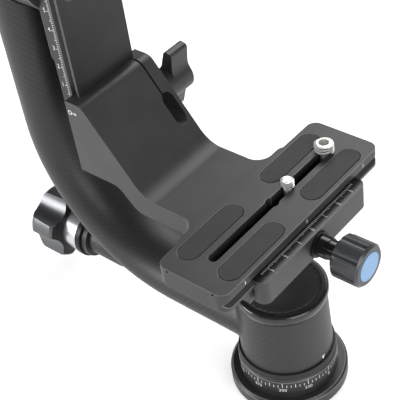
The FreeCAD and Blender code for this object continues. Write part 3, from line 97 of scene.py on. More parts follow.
floor.data.materials.append(floor_paint)

studio = bpy.data.worlds.new("studio_air")
studio.use_nodes = True
bpy.context.scene.world = studio
tree = studio.node_tree
way = tree.nodes.new("ShaderNodeTexCoord")
apart = tree.nodes.new("ShaderNodeSeparateXYZ")
fade = tree.nodes.new("ShaderNodeValToRGB")
fade.color_ramp.elements.new(AIR_BANDS[1][0])
for stop, (height, grey) in zip(fade.color_ramp.elements, AIR_BANDS):
    stop.position = height
    stop.color = (grey, grey, grey, 1)
join_up(tree, (way.outputs["Generated"], apart.inputs[0]), (apart.outputs["Z"], fade.inputs["Fac"]),
        (fade.outputs["Color"], tree.nodes["Background"].inputs["Color"]))


def soft_lamp(name, place, width, watts):
    """A square soft box that faces the clamp."""
    clear_selection()
    bpy.ops.object.light_add(type="AREA", location=place)
    lamp = bpy.context.object
    lamp.name = name
    lamp.data.size = width
    lamp.data.energy = watts
    lamp.rotation_euler = (LAMP_AIM - Vector(place)).to_track_quat("-Z", "Y").to_euler()


soft_lamp("lamp_left", (-0.85, -0.95, 0.42), width=0.6, watts=11.5)
soft_lamp("lamp_right", (1.05, -0.35, 0.55), width=0.8, watts=10.5)
soft_lamp("lamp_behind", (-0.35, 0.95, 1.15), width=0.9, watts=12.0)

bpy.context.scene.view_settings.view_transform = "Standard"
clear_selection()
bpy.ops.object.camera_add(location=CAMERA_PLACE, rotation=[math.radians(turn) for turn in CAMERA_TURNS])
camera = bpy.context.object
camera.name = "camera"
camera.data.sensor_width = CAMERA_SENSOR
camera.data.lens = CAMERA_LENS
camera.data.clip_start = CAMERA_NEAREST
bpy.context.scene.camera = camera

# ---- Foot ----
# A turned aluminium disc, black anodised, that sits on the tripod's platform. A brass insert carries the
# tripod thread, and three countersunk screws hold the foot to the spindle.
GRIT = 0.45 * MM
CLOUD = 14 * MM
CLOUD_ENDS = (0.3, 0.7)  # where the darker and the lighter colour are reached
GRAIN_DEPTH = 0.02 * MM
GRAIN_STRENGTH = 0.6
WELD = 0.001 * MM
SHARP_TURN = 32  # degrees between two faces that meet in an edge


def grained(name, dark, light, roughness, spread, grit=GRIT, depth=GRAIN_DEPTH, metallic=0.0):
    """A surface with a cloudy colour between two values, a fine grain and an uneven sheen."""
    material = bpy.data.materials.new(name)
    material.use_nodes = True
    tree = material.node_tree
    shader = tree.nodes["Principled BSDF"]
    shader.inputs["Metallic"].default_value = metallic
    place = tree.nodes.new("ShaderNodeTexCoord")
    clouds = tree.nodes.new("ShaderNodeTexNoise")
    clouds.inputs["Scale"].default_value = 1 / CLOUD
    clouds.inputs["Detail"].default_value = 4.0
    colours = tree.nodes.new("ShaderNodeValToRGB")
    for stop, height, colour in zip(colours.color_ramp.elements, CLOUD_ENDS, (dark, light)):
        stop.position = height
        stop.color = (*colour, 1)
    grains = tree.nodes.new("ShaderNodeTexNoise")
    grains.inputs["Scale"].default_value = 1 / grit
    grains.inputs["Detail"].default_value = 2.0
    sheen = tree.nodes.new("ShaderNodeMapRange")
    sheen.inputs["To Min"].default_value = roughness - spread
    sheen.inputs["To Max"].default_value = roughness + spread
    bump = tree.nodes.new("ShaderNodeBump")
    bump.inputs["Strength"].default_value = GRAIN_STRENGTH
    bump.inputs["Distance"].default_value = depth
    join_up(tree, (place.outputs["Object"], clouds.inputs["Vector"]),
            (place.outputs["Object"], grains.inputs["Vector"]),
            (clouds.outputs["Fac"], colours.inputs["Fac"]),
            (colours.outputs["Color"], shader.inputs["Base Color"]),
            (grains.outputs["Fac"], sheen.inputs["Value"]), (sheen.outputs[0], shader.inputs["Roughness"]),
            (grains.outputs["Fac"], bump.inputs["Height"]), (bump.outputs["Normal"], shader.inputs["Normal"]))
    return material


def take_up(piece):
    """Makes one piece the only chosen one."""
    clear_selection()
    piece.select_set(True)
    bpy.context.view_layer.objects.active = piece


def remade(node, name, flat=0.4):
    """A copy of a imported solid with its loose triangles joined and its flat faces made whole."""
    piece = bpy.data.objects.new(name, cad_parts[node].data.copy())
    bpy.context.scene.collection.objects.link(piece)
    take_up(piece)
    bpy.ops.mesh.customdata_custom_splitnormals_clear()
    bpy.ops.object.mode_set(mode="EDIT")
    bpy.ops.mesh.select_all(action="SELECT")
    bpy.ops.mesh.remove_doubles(threshold=WELD)
    bpy.ops.mesh.dissolve_limited(angle_limit=math.radians(flat))
    bpy.ops.object.mode_set(mode="OBJECT")
    return piece


def broken_edges(piece, width, steps, angle, edge_highlight):
    """Rounds every edge that turns more than an angle, as blasting and tumbling leave it."""
    take_up(piece)
    rounding = piece.modifiers.new("broken_edges", "BEVEL")
    rounding.width = width
    rounding.segments = steps
    rounding.limit_method = "ANGLE"
    rounding.angle_limit = math.radians(angle)
    rounding.use_clamp_overlap = True
    # The rounded faces can take a lighter material: a painted highlight along every edge.
    if edge_highlight:
        piece.data.materials.append(edge_highlight)
        rounding.material = len(piece.data.materials) - 1
    bpy.ops.object.modifier_apply(modifier=rounding.name)
    bpy.ops.object.shade_smooth_by_angle(angle=math.radians(angle))
    flat_faces = piece.modifiers.new("flat_faces", "WEIGHTED_NORMAL")
    flat_faces.keep_sharp = True
    bpy.ops.object.modifier_apply(modifier=flat_faces.name)


def dressed(node, body, finish, width, steps=2, angle=SHARP_TURN, edge_highlight=None):
    """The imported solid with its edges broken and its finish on, in the place of the plain one."""
    piece = remade(node, node + "_finished")
    piece.data.materials.clear()
    piece.data.materials.append(finish)
    broken_edges(piece, width, steps, angle, edge_highlight)
    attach(piece, body)
    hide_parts(node)
    return piece


def coated(finish, *nodes):
    """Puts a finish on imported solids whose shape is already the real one."""
    for node in nodes:
        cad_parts[node].data.materials[0] = finish


black_anodised = grained("black_anodised", (0.016, 0.016, 0.017), (0.024, 0.024, 0.025), 0.42, 0.07)
# A lighter grey for the rounded edges of the anodised parts: a painted highlight.
painted_edge_highlight = grained("painted_edge_highlight", (0.10, 0.10, 0.105), (0.18, 0.18, 0.185), 0.32, 0.06)
insert_brass = grained("turned_brass", (0.50, 0.34, 0.12), (0.62, 0.44, 0.18), 0.30, 0.08, metallic=1.0)
dark_steel = grained("blackened_steel", (0.03, 0.03, 0.032), (0.055, 0.055, 0.058), 0.38, 0.08, metallic=0.6)

dressed("base_foot", "base", black_anodised, width=0.25 * MM, edge_highlight=painted_edge_highlight)
coated(insert_brass, "tripod_insert")
coated(dark_steel, "foot_screws")

# ---- Spindle and pan bearings ----
# A turned aluminium spindle stands on the foot. Two ball bearings of hardened steel run between it and a
# bonded aluminium housing inside the arm's sleeve, and a slotted nut holds them.
turned_metal = grained("turned_aluminium", (0.46, 0.46, 0.47), (0.58, 0.58, 0.59), 0.34, 0.08, metallic=1.0)
race_steel = grained("ground_race_steel", (0.52, 0.52, 0.53), (0.62, 0.62, 0.63), 0.22, 0.06, metallic=1.0)
ball_steel = grained("polished_ball_steel", (0.62, 0.62, 0.63), (0.70, 0.70, 0.71), 0.10, 0.04, metallic=1.0)

coated(turned_metal, "spindle", "pan_housing")
coated(dark_steel, "spindle_nut")
coated(race_steel, "pan_inner_races", "pan_outer_races")
coated(ball_steel, "pan_balls")

# ---- Pan scale collar and seal ring ----
# A turned black collar carries the pan scale in white print: a mark every five degrees and a number every
# thirty. A black rubber ring closes the gap between it and the arm.
COLLAR_RADIUS = 25.0 * MM
COLLAR_MARK_BASE = 14.6 * MM
PRINT_RISE = 0.03 * MM
PRINT_SUNK = 0.02 * MM
MARK_WIDTH = 0.28 * MM
COLLAR_MARK_STEP = 5
COLLAR_NUMBER_STEP = 30
COLLAR_LONG_MARKS = {0: 3.2 * MM, 15: 2.4 * MM}
COLLAR_SHORT_MARK = 1.7 * MM
COLLAR_NUMBER = 2.0 * MM
COLLAR_NUMBER_DROP = 2.0 * MM
TYPE_SIZE = 1.4  # a font's size over the height of its figures
FACING_X = (math.pi / 2, 0, math.pi / 2)

white_print = grained("white_print", (0.80, 0.80, 0.80), (0.88, 0.88, 0.88), 0.55, 0.08, grit=0.2 * MM,
                      depth=0.004 * MM)


def mark(low, high):
    """One printed mark: a thin block from its low corner to its high corner."""
    middle = [(a + b) / 2 for a, b in zip(low, high)]
    clear_selection()
    bpy.ops.mesh.primitive_cube_add(size=1, location=middle)
    stroke = bpy.context.object
    stroke.scale = [b - a for a, b in zip(low, high)]
    bpy.ops.object.transform_apply(location=True, rotation=True, scale=True)
    return stroke


def number(text, height, place, turn):
    """A printed number, centred on its place and turned to face outwards."""
    clear_selection()
    bpy.ops.object.text_add()
    writing = bpy.context.object
    writing.data.body = text
    writing.data.size = height * TYPE_SIZE
    writing.data.align_x = "CENTER"
    writing.data.align_y = "CENTER"
    writing.data.extrude = (PRINT_RISE + PRINT_SUNK) / 2
    writing.data.resolution_u = 3
    bpy.ops.object.convert(target="MESH")
    writing = bpy.context.object
    writing.rotation_euler = turn
    writing.location = place
    bpy.ops.object.transform_apply(location=True, rotation=True, scale=True)
    return writing


def printed(name, strokes, body, finish=white_print):
    """Joins the strokes of a scale into one piece."""
    clear_selection()
    for stroke in strokes:
        stroke.select_set(True)
    bpy.context.view_layer.objects.active = strokes[0]
    bpy.ops.object.join()
    scale = bpy.context.object
    scale.name = name
    scale.data.name = name
    scale.data.materials.clear()
    scale.data.materials.append(finish)
    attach(scale, body)
    return scale


def turned_about_z(piece, degrees):
    """Turns a finished mark about the pan axis."""
    take_up(piece)
    piece.rotation_euler = (0, 0, math.radians(degrees))
    bpy.ops.object.transform_apply(location=True, rotation=True, scale=True)
    return piece


soft_black = grained("seal_rubber_black", (0.012, 0.012, 0.012), (0.02, 0.02, 0.02), 0.62, 0.08)
dressed("pan_collar", "base", black_anodised, width=0.3 * MM, edge_highlight=painted_edge_highlight)
dressed("seal_ring", "base", soft_black, width=0.3 * MM)

collar_strokes = []
for degrees in range(0, 360, COLLAR_MARK_STEP):
    length = COLLAR_LONG_MARKS.get(degrees % COLLAR_NUMBER_STEP, COLLAR_SHORT_MARK)
    collar_strokes.append(turned_about_z(
        mark((COLLAR_RADIUS - PRINT_SUNK, -MARK_WIDTH / 2, COLLAR_MARK_BASE),
             (COLLAR_RADIUS + PRINT_RISE, MARK_WIDTH / 2, COLLAR_MARK_BASE + length)), degrees))
    if degrees % COLLAR_NUMBER_STEP == 0:
        number_place = (COLLAR_RADIUS, 0, COLLAR_MARK_BASE - COLLAR_NUMBER_DROP)
        collar_strokes.append(turned_about_z(
            number(str(degrees), COLLAR_NUMBER, number_place, FACING_X), degrees))
printed("pan_scale_print", collar_strokes, "base")

# ---- Main arm ----
# One hollow moulding of carbon fibre: the sleeve, the curved tube, the boss for the pan lock and the eye for
# the tilt pivot. Its outer ply is a fine twill under a matt lacquer. A white index mark is on the sleeve.
TUBE_HEIGHT = 38.2 * MM
BEND_X = -61.0 * MM
BEND_RADIUS = 77.0 * MM
BEND_HEIGHT = TUBE_HEIGHT + BEND_RADIUS
UPRIGHT_X = BEND_X - BEND_RADIUS
TILT_HEIGHT = 212.0 * MM
SLEEVE_RADIUS = 23.4 * MM
EYE_RADIUS = 27.0 * MM
LOCK_HEIGHT = 28.5 * MM
BOSS_RADIUS = 9.8 * MM
BOSS_START = -90.0 * MM
TUBE_GIRTH = 17.0 * MM
ROUND_MARGIN = 0.3 * MM
BOSS_MARGIN = 0.5 * MM
SLEEVE_TO_TUBE = 0.92  # over the sleeve's radius: past this the tube begins
TOW = 0.9 * MM
TWILL_REPEAT = 4.0
TOW_DEPTH = 0.05 * MM
TOW_STRENGTH = 0.5
CLOTH_CLOUD = 9 * MM
CLOTH_GRIT = 0.35 * MM
CLOUD_SHARE = 0.25
LACQUER_SPREAD = 0.08
SMOOTH_TURN = 30


def cloth_place(spot, near=None):
    """Where a point of the arm lies on the cloth: round the girth and along the middle line, in metres."""
    x, y, z = spot
    if near is None:
        near = spot
    near_x, near_y, near_z = near
    if math.hypot(near_x, near_y) < SLEEVE_RADIUS + ROUND_MARGIN and near_x > -SLEEVE_RADIUS * SLEEVE_TO_TUBE:
        return math.atan2(y, x), SLEEVE_RADIUS, z
    from_tilt = math.hypot(near_y, near_z - TILT_HEIGHT)
    if near_z > TILT_HEIGHT - EYE_RADIUS and from_tilt < EYE_RADIUS + ROUND_MARGIN:
        return math.atan2(y, z - TILT_HEIGHT), EYE_RADIUS, x
    if math.hypot(near_y, near_z - LOCK_HEIGHT) < BOSS_RADIUS + BOSS_MARGIN and near_x < BOSS_START:
        return math.atan2(y, z - LOCK_HEIGHT), BOSS_RADIUS, x
    if near_x > BEND_X:
        return math.atan2(y, TUBE_HEIGHT - z), TUBE_GIRTH, -x
    if near_z > BEND_HEIGHT:
        return math.atan2(y, UPRIGHT_X - x), TUBE_GIRTH, -BEND_X + BEND_RADIUS * math.pi / 2 + z - BEND_HEIGHT
    reach = math.hypot(x - BEND_X, BEND_HEIGHT - z)
    turn = math.atan2(BEND_X - x, BEND_HEIGHT - z)
    return math.atan2(y, reach - BEND_RADIUS), TUBE_GIRTH, -BEND_X + BEND_RADIUS * turn


def lay_cloth(piece):
    """Gives each face the twill's own directions, so that the weave follows the tube round its bend."""
    layer = piece.data.uv_layers.new(name="cloth")
    for face in piece.data.polygons:
        middle = face.center
        middle_turn = cloth_place(middle)[0]
        for corner in face.loop_indices:
            spot = piece.data.vertices[piece.data.loops[corner].vertex_index].co
            turn, girth, run = cloth_place(spot, middle)
            turn = middle_turn + (turn - middle_turn + math.pi) % (2 * math.pi) - math.pi
            layer.data[corner].uv = (turn * girth, run)


def twill(name, warp_painted_sheen, weft_painted_shade, roughness):
    """Carbon twill: two tows over and two under, each tow a low ridge, seen through a matt lacquer."""
    material = bpy.data.materials.new(name)
    material.use_nodes = True
    tree = material.node_tree
    shader = tree.nodes["Principled BSDF"]

    def sum_of(kind, first, second=None):
        """The result of one step of arithmetic on sockets or plain numbers."""
        node = tree.nodes.new("ShaderNodeMath")
        node.operation = kind
        for socket, value in zip(node.inputs, (first, second)):
            if isinstance(value, (int, float)):
                socket.default_value = value
            elif value is not None:
                tree.links.new(value, socket)
        return node.outputs[0]

    cloth = tree.nodes.new("ShaderNodeUVMap")
    cloth.uv_map = "cloth"
    apart = tree.nodes.new("ShaderNodeSeparateXYZ")
    join_up(tree, (cloth.outputs["UV"], apart.inputs[0]))
    across = sum_of("DIVIDE", apart.outputs["X"], TOW)
    along = sum_of("DIVIDE", apart.outputs["Y"], TOW)
    step = sum_of("SUBTRACT", sum_of("FLOOR", across), sum_of("FLOOR", along))
    warp_up = sum_of("LESS_THAN", sum_of("FLOORED_MODULO", step, TWILL_REPEAT), TWILL_REPEAT / 2 - 0.5)
    ridges = []
    for way in (across, along):
        offset = sum_of("ABSOLUTE", sum_of("SUBTRACT", sum_of("FRACT", way), 0.5))
        ridges.append(sum_of("SUBTRACT", 1.0, sum_of("MULTIPLY", sum_of("MULTIPLY", offset, offset), 4.0)))
    height = tree.nodes.new("ShaderNodeMix")
    join_up(tree, (warp_up, height.inputs["Factor"]), (ridges[1], height.inputs["A"]),
            (ridges[0], height.inputs["B"]))
    place = tree.nodes.new("ShaderNodeTexCoord")
    clouds = tree.nodes.new("ShaderNodeTexNoise")
    clouds.inputs["Scale"].default_value = 1 / CLOTH_CLOUD
    grains = tree.nodes.new("ShaderNodeTexNoise")
    grains.inputs["Scale"].default_value = 1 / CLOTH_GRIT
    join_up(tree, (place.outputs["Object"], clouds.inputs["Vector"]),
            (place.outputs["Object"], grains.inputs["Vector"]))
    # The warp is painted lighter than the weft: a painted sheen for the way the tows' two directions catch
    # the light. A quarter of the tone is a random cloud.
    uneven = sum_of("ADD", sum_of("MULTIPLY", warp_up, 1 - CLOUD_SHARE),
                    sum_of("MULTIPLY", clouds.outputs["Fac"], CLOUD_SHARE))
    colours = tree.nodes.new("ShaderNodeValToRGB")
    colours.color_ramp.elements[0].color = (*weft_painted_shade, 1)
    colours.color_ramp.elements[1].color = (*warp_painted_sheen, 1)
    sheen = tree.nodes.new("ShaderNodeMapRange")
    sheen.inputs["To Min"].default_value = roughness - LACQUER_SPREAD
    sheen.inputs["To Max"].default_value = roughness + LACQUER_SPREAD
    bump = tree.nodes.new("ShaderNodeBump")
    bump.inputs["Strength"].default_value = TOW_STRENGTH
    bump.inputs["Distance"].default_value = TOW_DEPTH
    join_up(tree, (uneven, colours.inputs["Fac"]), (colours.outputs["Color"], shader.inputs["Base Color"]),
            (grains.outputs["Fac"], sheen.inputs["Value"]), (sheen.outputs[0], shader.inputs["Roughness"]),
            (height.outputs["Result"], bump.inputs["Height"]),
            (bump.outputs["Normal"], shader.inputs["Normal"]))
    return material


# The lighter tone is the warp's painted sheen, and the darker one is the weft's painted shade.
matt_carbon = twill("matt_carbon_twill", (0.026, 0.026, 0.027), (0.018, 0.018, 0.019), 0.42)
arm_piece = remade("main_arm", "main_arm_finished", flat=0.1)
arm_piece.data.materials.clear()
arm_piece.data.materials.append(matt_carbon)
take_up(arm_piece)
bpy.ops.object.shade_smooth_by_angle(angle=math.radians(SMOOTH_TURN))
lay_cloth(arm_piece)
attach(arm_piece, "arm")
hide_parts("main_arm")


def choose(piece, kind, wanted):
    """Opens a piece in edit mode with only the vertices or faces that the wanted function picks selected."""
    take_up(piece)
    bpy.ops.object.mode_set(mode="EDIT")
    bpy.ops.mesh.select_mode(type=kind)
    bpy.ops.mesh.select_all(action="DESELECT")
    bpy.ops.object.mode_set(mode="OBJECT")
    for part in (piece.data.vertices if kind == "VERT" else piece.data.polygons):
        part.select = wanted(part)
    bpy.ops.object.mode_set(mode="EDIT")


INDEX_TURN = -3.0
INDEX_BASE = 23.7 * MM
INDEX_RISE = 2.4 * MM
INDEX_HALF_WIDTH = 1.1 * MM
INDEX_DEPTH = 0.3 * MM
INDEX_TIP_SHARE = 0.02
index_mark = mark((SLEEVE_RADIUS - INDEX_DEPTH, -INDEX_HALF_WIDTH, INDEX_BASE),
                  (SLEEVE_RADIUS, INDEX_HALF_WIDTH, INDEX_BASE + INDEX_RISE))
choose(index_mark, "VERT", lambda corner: corner.co.z < INDEX_BASE + INDEX_RISE / 2)
bpy.ops.transform.resize(value=(1, INDEX_TIP_SHARE, 1))
bpy.ops.object.mode_set(mode="OBJECT")
printed("pan_index_print", [turned_about_z(index_mark, INDEX_TURN)], "arm")

# ---- Pan cap ----
# A spun aluminium cap, pressed into the top of the sleeve to keep dirt out of the bearings. Its rolled rim is
# polished and its dish is left matt.
CAP_DISH = 17.5 * MM


def second_finish(piece, finish, wanted):
    """Puts another finish on the faces that the wanted function picks by their middle and normal."""
    piece.data.materials.append(finish)
    for face in piece.data.polygons:
        if wanted(face.center, face.normal):
            face.material_index = len(piece.data.materials) - 1


cap_gloss = grained("gloss_black_cap", (0.014, 0.014, 0.015), (0.020, 0.020, 0.021), 0.20, 0.05)
cap_matt = grained("matt_black_dish", (0.016, 0.016, 0.016), (0.022, 0.022, 0.022), 0.55, 0.06)
cap_piece = dressed("pan_cap", "arm", cap_gloss, width=0.3 * MM)
second_finish(cap_piece, cap_matt, lambda middle, facing: math.hypot(middle.x, middle.y) < CAP_DISH)

# ---- Pan lock ----
# A lobed metal knob, polished and dark, on a long steel rod, which presses a polymer pad against the spindle.
# Its conical hub turns against a black ring and the flange of a grey bush in the arm's boss.
# The grip's face towards the hub is given the washers' black: painted shade.
GRIP_START = -148.9 * MM
BACK_LIMIT = -140.0 * MM  # past the hub's wide end and short of the grip's back face
LOBE_TURN = 36
HUB_SIDE_TURN = 0.6  # the x part of a face's normal
BACK_FACE_TURN = 0.8
DULL_GLEAM = 0.2
knob_gloss = grained("dark_gloss_knob", (0.105, 0.108, 0.115), (0.135, 0.138, 0.146), 0.31, 0.04,
                     metallic=0.9)
nylon_black_and_shade = grained("black_nylon_and_painted_shade", (0.008, 0.008, 0.009), (0.013, 0.013, 0.014), 0.36, 0.07)
grey_anodised = grained("grey_anodised", (0.028, 0.028, 0.030), (0.040, 0.040, 0.042), 0.34, 0.06)
hub_gloss = grained("polished_hub", (0.50, 0.51, 0.54), (0.60, 0.61, 0.64), 0.30, 0.04, metallic=0.9)
for dull in (nylon_black_and_shade, grey_anodised):
    dull.node_tree.nodes["Principled BSDF"].inputs["Specular IOR Level"].default_value = DULL_GLEAM
polymer_pad = grained("brake_polymer", (0.30, 0.22, 0.10), (0.38, 0.28, 0.14), 0.55, 0.08)

lock_knob_piece = dressed("lock_knob", "pan_lock", knob_gloss, width=1.2 * MM, steps=3,
                          angle=LOBE_TURN)
second_finish(lock_knob_piece, hub_gloss, lambda middle, facing: middle.x > GRIP_START
              and facing.x < HUB_SIDE_TURN)
# Painted shade: the grip's face towards the hub gets the black of the nylon washers.
second_finish(lock_knob_piece, nylon_black_and_shade, lambda middle, facing: middle.x < BACK_LIMIT
              and facing.x > BACK_FACE_TURN)
dressed("lock_washer", "pan_brake", nylon_black_and_shade, width=0.5 * MM, steps=3)
dressed("lock_bush", "arm", grey_anodised, width=0.3 * MM, edge_highlight=painted_edge_highlight)
coated(dark_steel, "lock_rod")
coated(polymer_pad, "brake_pad")

# ---- Tilt pivot ----
# Two ball bearings in the arm's eye carry a steel shaft. A hub with a friction disc turns on its inner side,
# and a lobed rubber knob with a brass insert clamps it from outside against a screwed end plate.
friction_fibre = grained("friction_fibre", (0.10, 0.075, 0.05), (0.15, 0.11, 0.07), 0.7, 0.1)
knob_rubber = grained("knob_rubber", (0.018, 0.018, 0.018), (0.03, 0.03, 0.03), 0.55, 0.08, grit=0.8 * MM)
badge_metal = grained("satin_badge", (0.42, 0.42, 0.43), (0.52, 0.52, 0.53), 0.30, 0.06, metallic=1.0)

coated(turned_metal, "tilt_housing", "tilt_shaft")
coated(race_steel, "tilt_outer_races", "tilt_inner_races")
coated(ball_steel, "tilt_balls")
coated(friction_fibre, "friction_disc")
coated(insert_brass, "tilt_knob_insert")
coated(dark_steel, "end_plate_screws")
dressed("swing_hub", "swing", black_anodised, width=0.4 * MM, edge_highlight=painted_edge_highlight)
dressed("tilt_end_plate", "arm", black_anodised, width=0.4 * MM, edge_highlight=painted_edge_highlight)
dressed("thrust_washer", "tilt_thrust", nylon_black_and_shade, width=0.2 * MM)
dressed("tilt_knob", "tilt_lock", knob_rubber, width=0.8 * MM, steps=3, angle=LOBE_TURN)
dressed("tilt_knob_disc", "tilt_lock", badge_metal, width=0.15 * MM)

# ---- Swing bar ----
# An extruded aluminium bar with a V groove along each side, blasted and black anodised. Its near side
# carries the height scale in white print, a mark every millimetre. Socket screws hold it to the hub.
BAR_SIDE = -19.0 * MM
BAR_SCALE_ZERO = 144.8 * MM
BAR_GROOVE_EDGE = -100.0 * MM
BAR_NUMBER_X = -103.6 * MM
BAR_SCALE_LENGTH = 80
CENTIMETRE = 10
BAR_LONG_MARKS = {0: 2.1 * MM, 5: 1.9 * MM}
BAR_SHORT_MARK = 1.1 * MM
BAR_NUMBER = 2.4 * MM
BAR_GLEAM = 0.35
FACING_NEAR = (math.pi / 2, 0, 0)
bar_anodised = grained("bar_anodised", (0.015, 0.015, 0.016), (0.022, 0.022, 0.023), 0.38, 0.06)
bar_anodised.node_tree.nodes["Principled BSDF"].inputs["Specular IOR Level"].default_value = BAR_GLEAM
dressed("swing_bar", "swing", bar_anodised, width=0.25 * MM, edge_highlight=painted_edge_highlight)
coated(dark_steel, "bar_screws", "stop_screw")

bar_strokes = []
for step in range(BAR_SCALE_LENGTH + 1):
    height = BAR_SCALE_ZERO + step * MM
    length = BAR_LONG_MARKS.get(step % CENTIMETRE, BAR_SHORT_MARK)
    bar_strokes.append(mark((BAR_GROOVE_EDGE - length, BAR_SIDE - PRINT_RISE, height - MARK_WIDTH / 2),
                            (BAR_GROOVE_EDGE, BAR_SIDE + PRINT_SUNK, height + MARK_WIDTH / 2)))
    if step % CENTIMETRE == 0:
        number_place = (BAR_NUMBER_X, BAR_SIDE, height)
        bar_strokes.append(number(str(step // CENTIMETRE), BAR_NUMBER, number_place, FACING_NEAR))
printed("height_scale_print", bar_strokes, "swing")

# ---- Cradle ----
# One machined piece of aluminium: the upright that hooks round the bar, the slanted web, the shelf and the
# fixed half of the clamp. A saw cut and a long slot let the knob draw the upright's two cheeks together.
# A small white arrow and ring on the cheek show which way the knob locks it.
CHEEK_SIDE = -24.5 * MM
SYMBOL_X = -96.4 * MM
SYMBOL_Z = 144.6 * MM
RING_RADIUS = 1.25 * MM
RING_STROKE = 0.45 * MM
RING_FACE_TURN = 0.9
ARROW_START = 1.2 * MM
ARROW_NECK = 3.0 * MM
ARROW_HEAD_AT = 3.4 * MM
ARROW_HEAD_RADIUS = 1.0 * MM
ARROW_HALF_WIDTH = 0.2 * MM
cradle_anodised = grained("cradle_anodised", (0.032, 0.032, 0.033), (0.043, 0.043, 0.044), 0.43, 0.06)
dressed("cradle", "cradle", cradle_anodised, width=0.35 * MM, edge_highlight=painted_edge_highlight)

clear_selection()
bpy.ops.mesh.primitive_cylinder_add(vertices=24, radius=RING_RADIUS, depth=PRINT_RISE + PRINT_SUNK,
                                    location=(SYMBOL_X, CHEEK_SIDE, SYMBOL_Z), rotation=(math.pi / 2, 0, 0))
symbol_ring = bpy.context.object
bpy.ops.object.transform_apply(location=True, rotation=True, scale=True)
choose(symbol_ring, "FACE", lambda face: abs(face.normal.y) > RING_FACE_TURN)
bpy.ops.mesh.inset(thickness=RING_STROKE)
bpy.ops.mesh.bridge_edge_loops()
bpy.ops.object.mode_set(mode="OBJECT")
clear_selection()
bpy.ops.mesh.primitive_cylinder_add(vertices=3, radius=ARROW_HEAD_RADIUS, depth=PRINT_RISE + PRINT_SUNK,
                                    location=(SYMBOL_X + ARROW_HEAD_AT, CHEEK_SIDE, SYMBOL_Z),
                                    rotation=(math.pi / 2, math.pi / 2, 0))
arrow_head = bpy.context.object
bpy.ops.object.transform_apply(location=True, rotation=True, scale=True)
arrow_shaft = mark((SYMBOL_X + ARROW_START, CHEEK_SIDE - PRINT_RISE, SYMBOL_Z - ARROW_HALF_WIDTH),
                   (SYMBOL_X + ARROW_NECK, CHEEK_SIDE + PRINT_SUNK, SYMBOL_Z + ARROW_HALF_WIDTH))
printed("lock_symbol_print", [symbol_ring, arrow_head, arrow_shaft], "cradle")

# ---- Cradle knob ----
# A two-winged knob of black moulded nylon over a steel stud, with a plain washer under its hub. It draws the
# cradle's two cheeks together across the saw cut.
wing_nylon = grained("wing_nylon", (0.026, 0.026, 0.027), (0.036, 0.036, 0.037), 0.42, 0.07)
dressed("cradle_knob", "cradle_lock", wing_nylon, width=0.9 * MM, steps=3, angle=LOBE_TURN)
dressed("cradle_washer", "cradle_thrust", nylon_black_and_shade, width=0.2 * MM)
coated(dark_steel, "cradle_stud")

# ---- Clamp jaw ----
# The sliding half of the clamp, machined and given a polished top with a white millimetre scale. Two ground
# pins guide it, and a screw through it draws it towards the fixed half.
# The jaw's sides are painted a lighter grey than its top: painted light, where the sides catch the lamps.
# Their satin roughness is real.
JAW_TOP = 109.0 * MM
JAW_MARK_START = 18.75 * MM
JAW_NUMBER_X = 22.1 * MM
JAW_SCALE_HALF = 34
JAW_LONG_MARKS = {0: 1.9 * MM, 5: 1.6 * MM}
JAW_SHORT_MARK = 1.15 * MM
JAW_NUMBER = 1.9 * MM
JAW_SIDE_TURN = 0.1
JAW_EDGE = 0.4 * MM
FACING_UP = (0, 0, math.pi / 2)
jaw_gloss = grained("jaw_anodised", (0.012, 0.012, 0.012), (0.017, 0.017, 0.017), 0.28, 0.05)
jaw_satin_painted_light = grained("jaw_satin_side_painted_light", (0.034, 0.034, 0.035), (0.044, 0.044, 0.045), 0.42, 0.06)
jaw_piece = dressed("clamp_jaw", "jaw", jaw_gloss, width=0.3 * MM, edge_highlight=painted_edge_highlight)
# Painted light: the jaw's upright sides get a lighter grey than its top.
second_finish(jaw_piece, jaw_satin_painted_light, lambda middle, facing: abs(facing.z) < JAW_SIDE_TURN
              and middle.z < JAW_TOP - JAW_EDGE)
coated(race_steel, "guide_pins")
coated(dark_steel, "clamp_screw")
dressed("clamp_washer", "jaw", nylon_black_and_shade, width=0.15 * MM)

jaw_strokes = []
for step in range(-JAW_SCALE_HALF, JAW_SCALE_HALF + 1):
    length = JAW_LONG_MARKS.get(abs(step) % CENTIMETRE, JAW_SHORT_MARK)
    jaw_strokes.append(mark((JAW_MARK_START, step * MM - MARK_WIDTH / 2, JAW_TOP - PRINT_SUNK),
                            (JAW_MARK_START + length, step * MM + MARK_WIDTH / 2, JAW_TOP + PRINT_RISE)))
    if step % CENTIMETRE == 0:
        number_place = (JAW_NUMBER_X, step * MM, JAW_TOP)
        jaw_strokes.append(number(str(abs(step) // CENTIMETRE), JAW_NUMBER, number_place, FACING_UP))
printed("jaw_scale_print", jaw_strokes, "jaw")

# ---- Clamp knob ----
# A fluted aluminium grip on a polished stepped shank, screwed to the clamp screw. A pale blue disc closes
# its end.
SHANK_END = 36.4 * MM
shank_gloss = grained("shank_gloss", (0.008, 0.008, 0.009), (0.012, 0.012, 0.013), 0.22, 0.05)
grip_satin = grained("grip_anodised", (0.036, 0.038, 0.042), (0.048, 0.050, 0.055), 0.32, 0.06)
pale_blue = grained("pale_blue_disc", (0.22, 0.40, 0.66), (0.26, 0.44, 0.70), 0.42, 0.05)
knob_piece = dressed("clamp_knob", "clamp_lock", grip_satin, width=0.3 * MM,
                     angle=LOBE_TURN)
second_finish(knob_piece, shank_gloss, lambda middle, facing: middle.x < SHANK_END)
dressed("knob_disc", "clamp_lock", pale_blue, width=0.12 * MM)

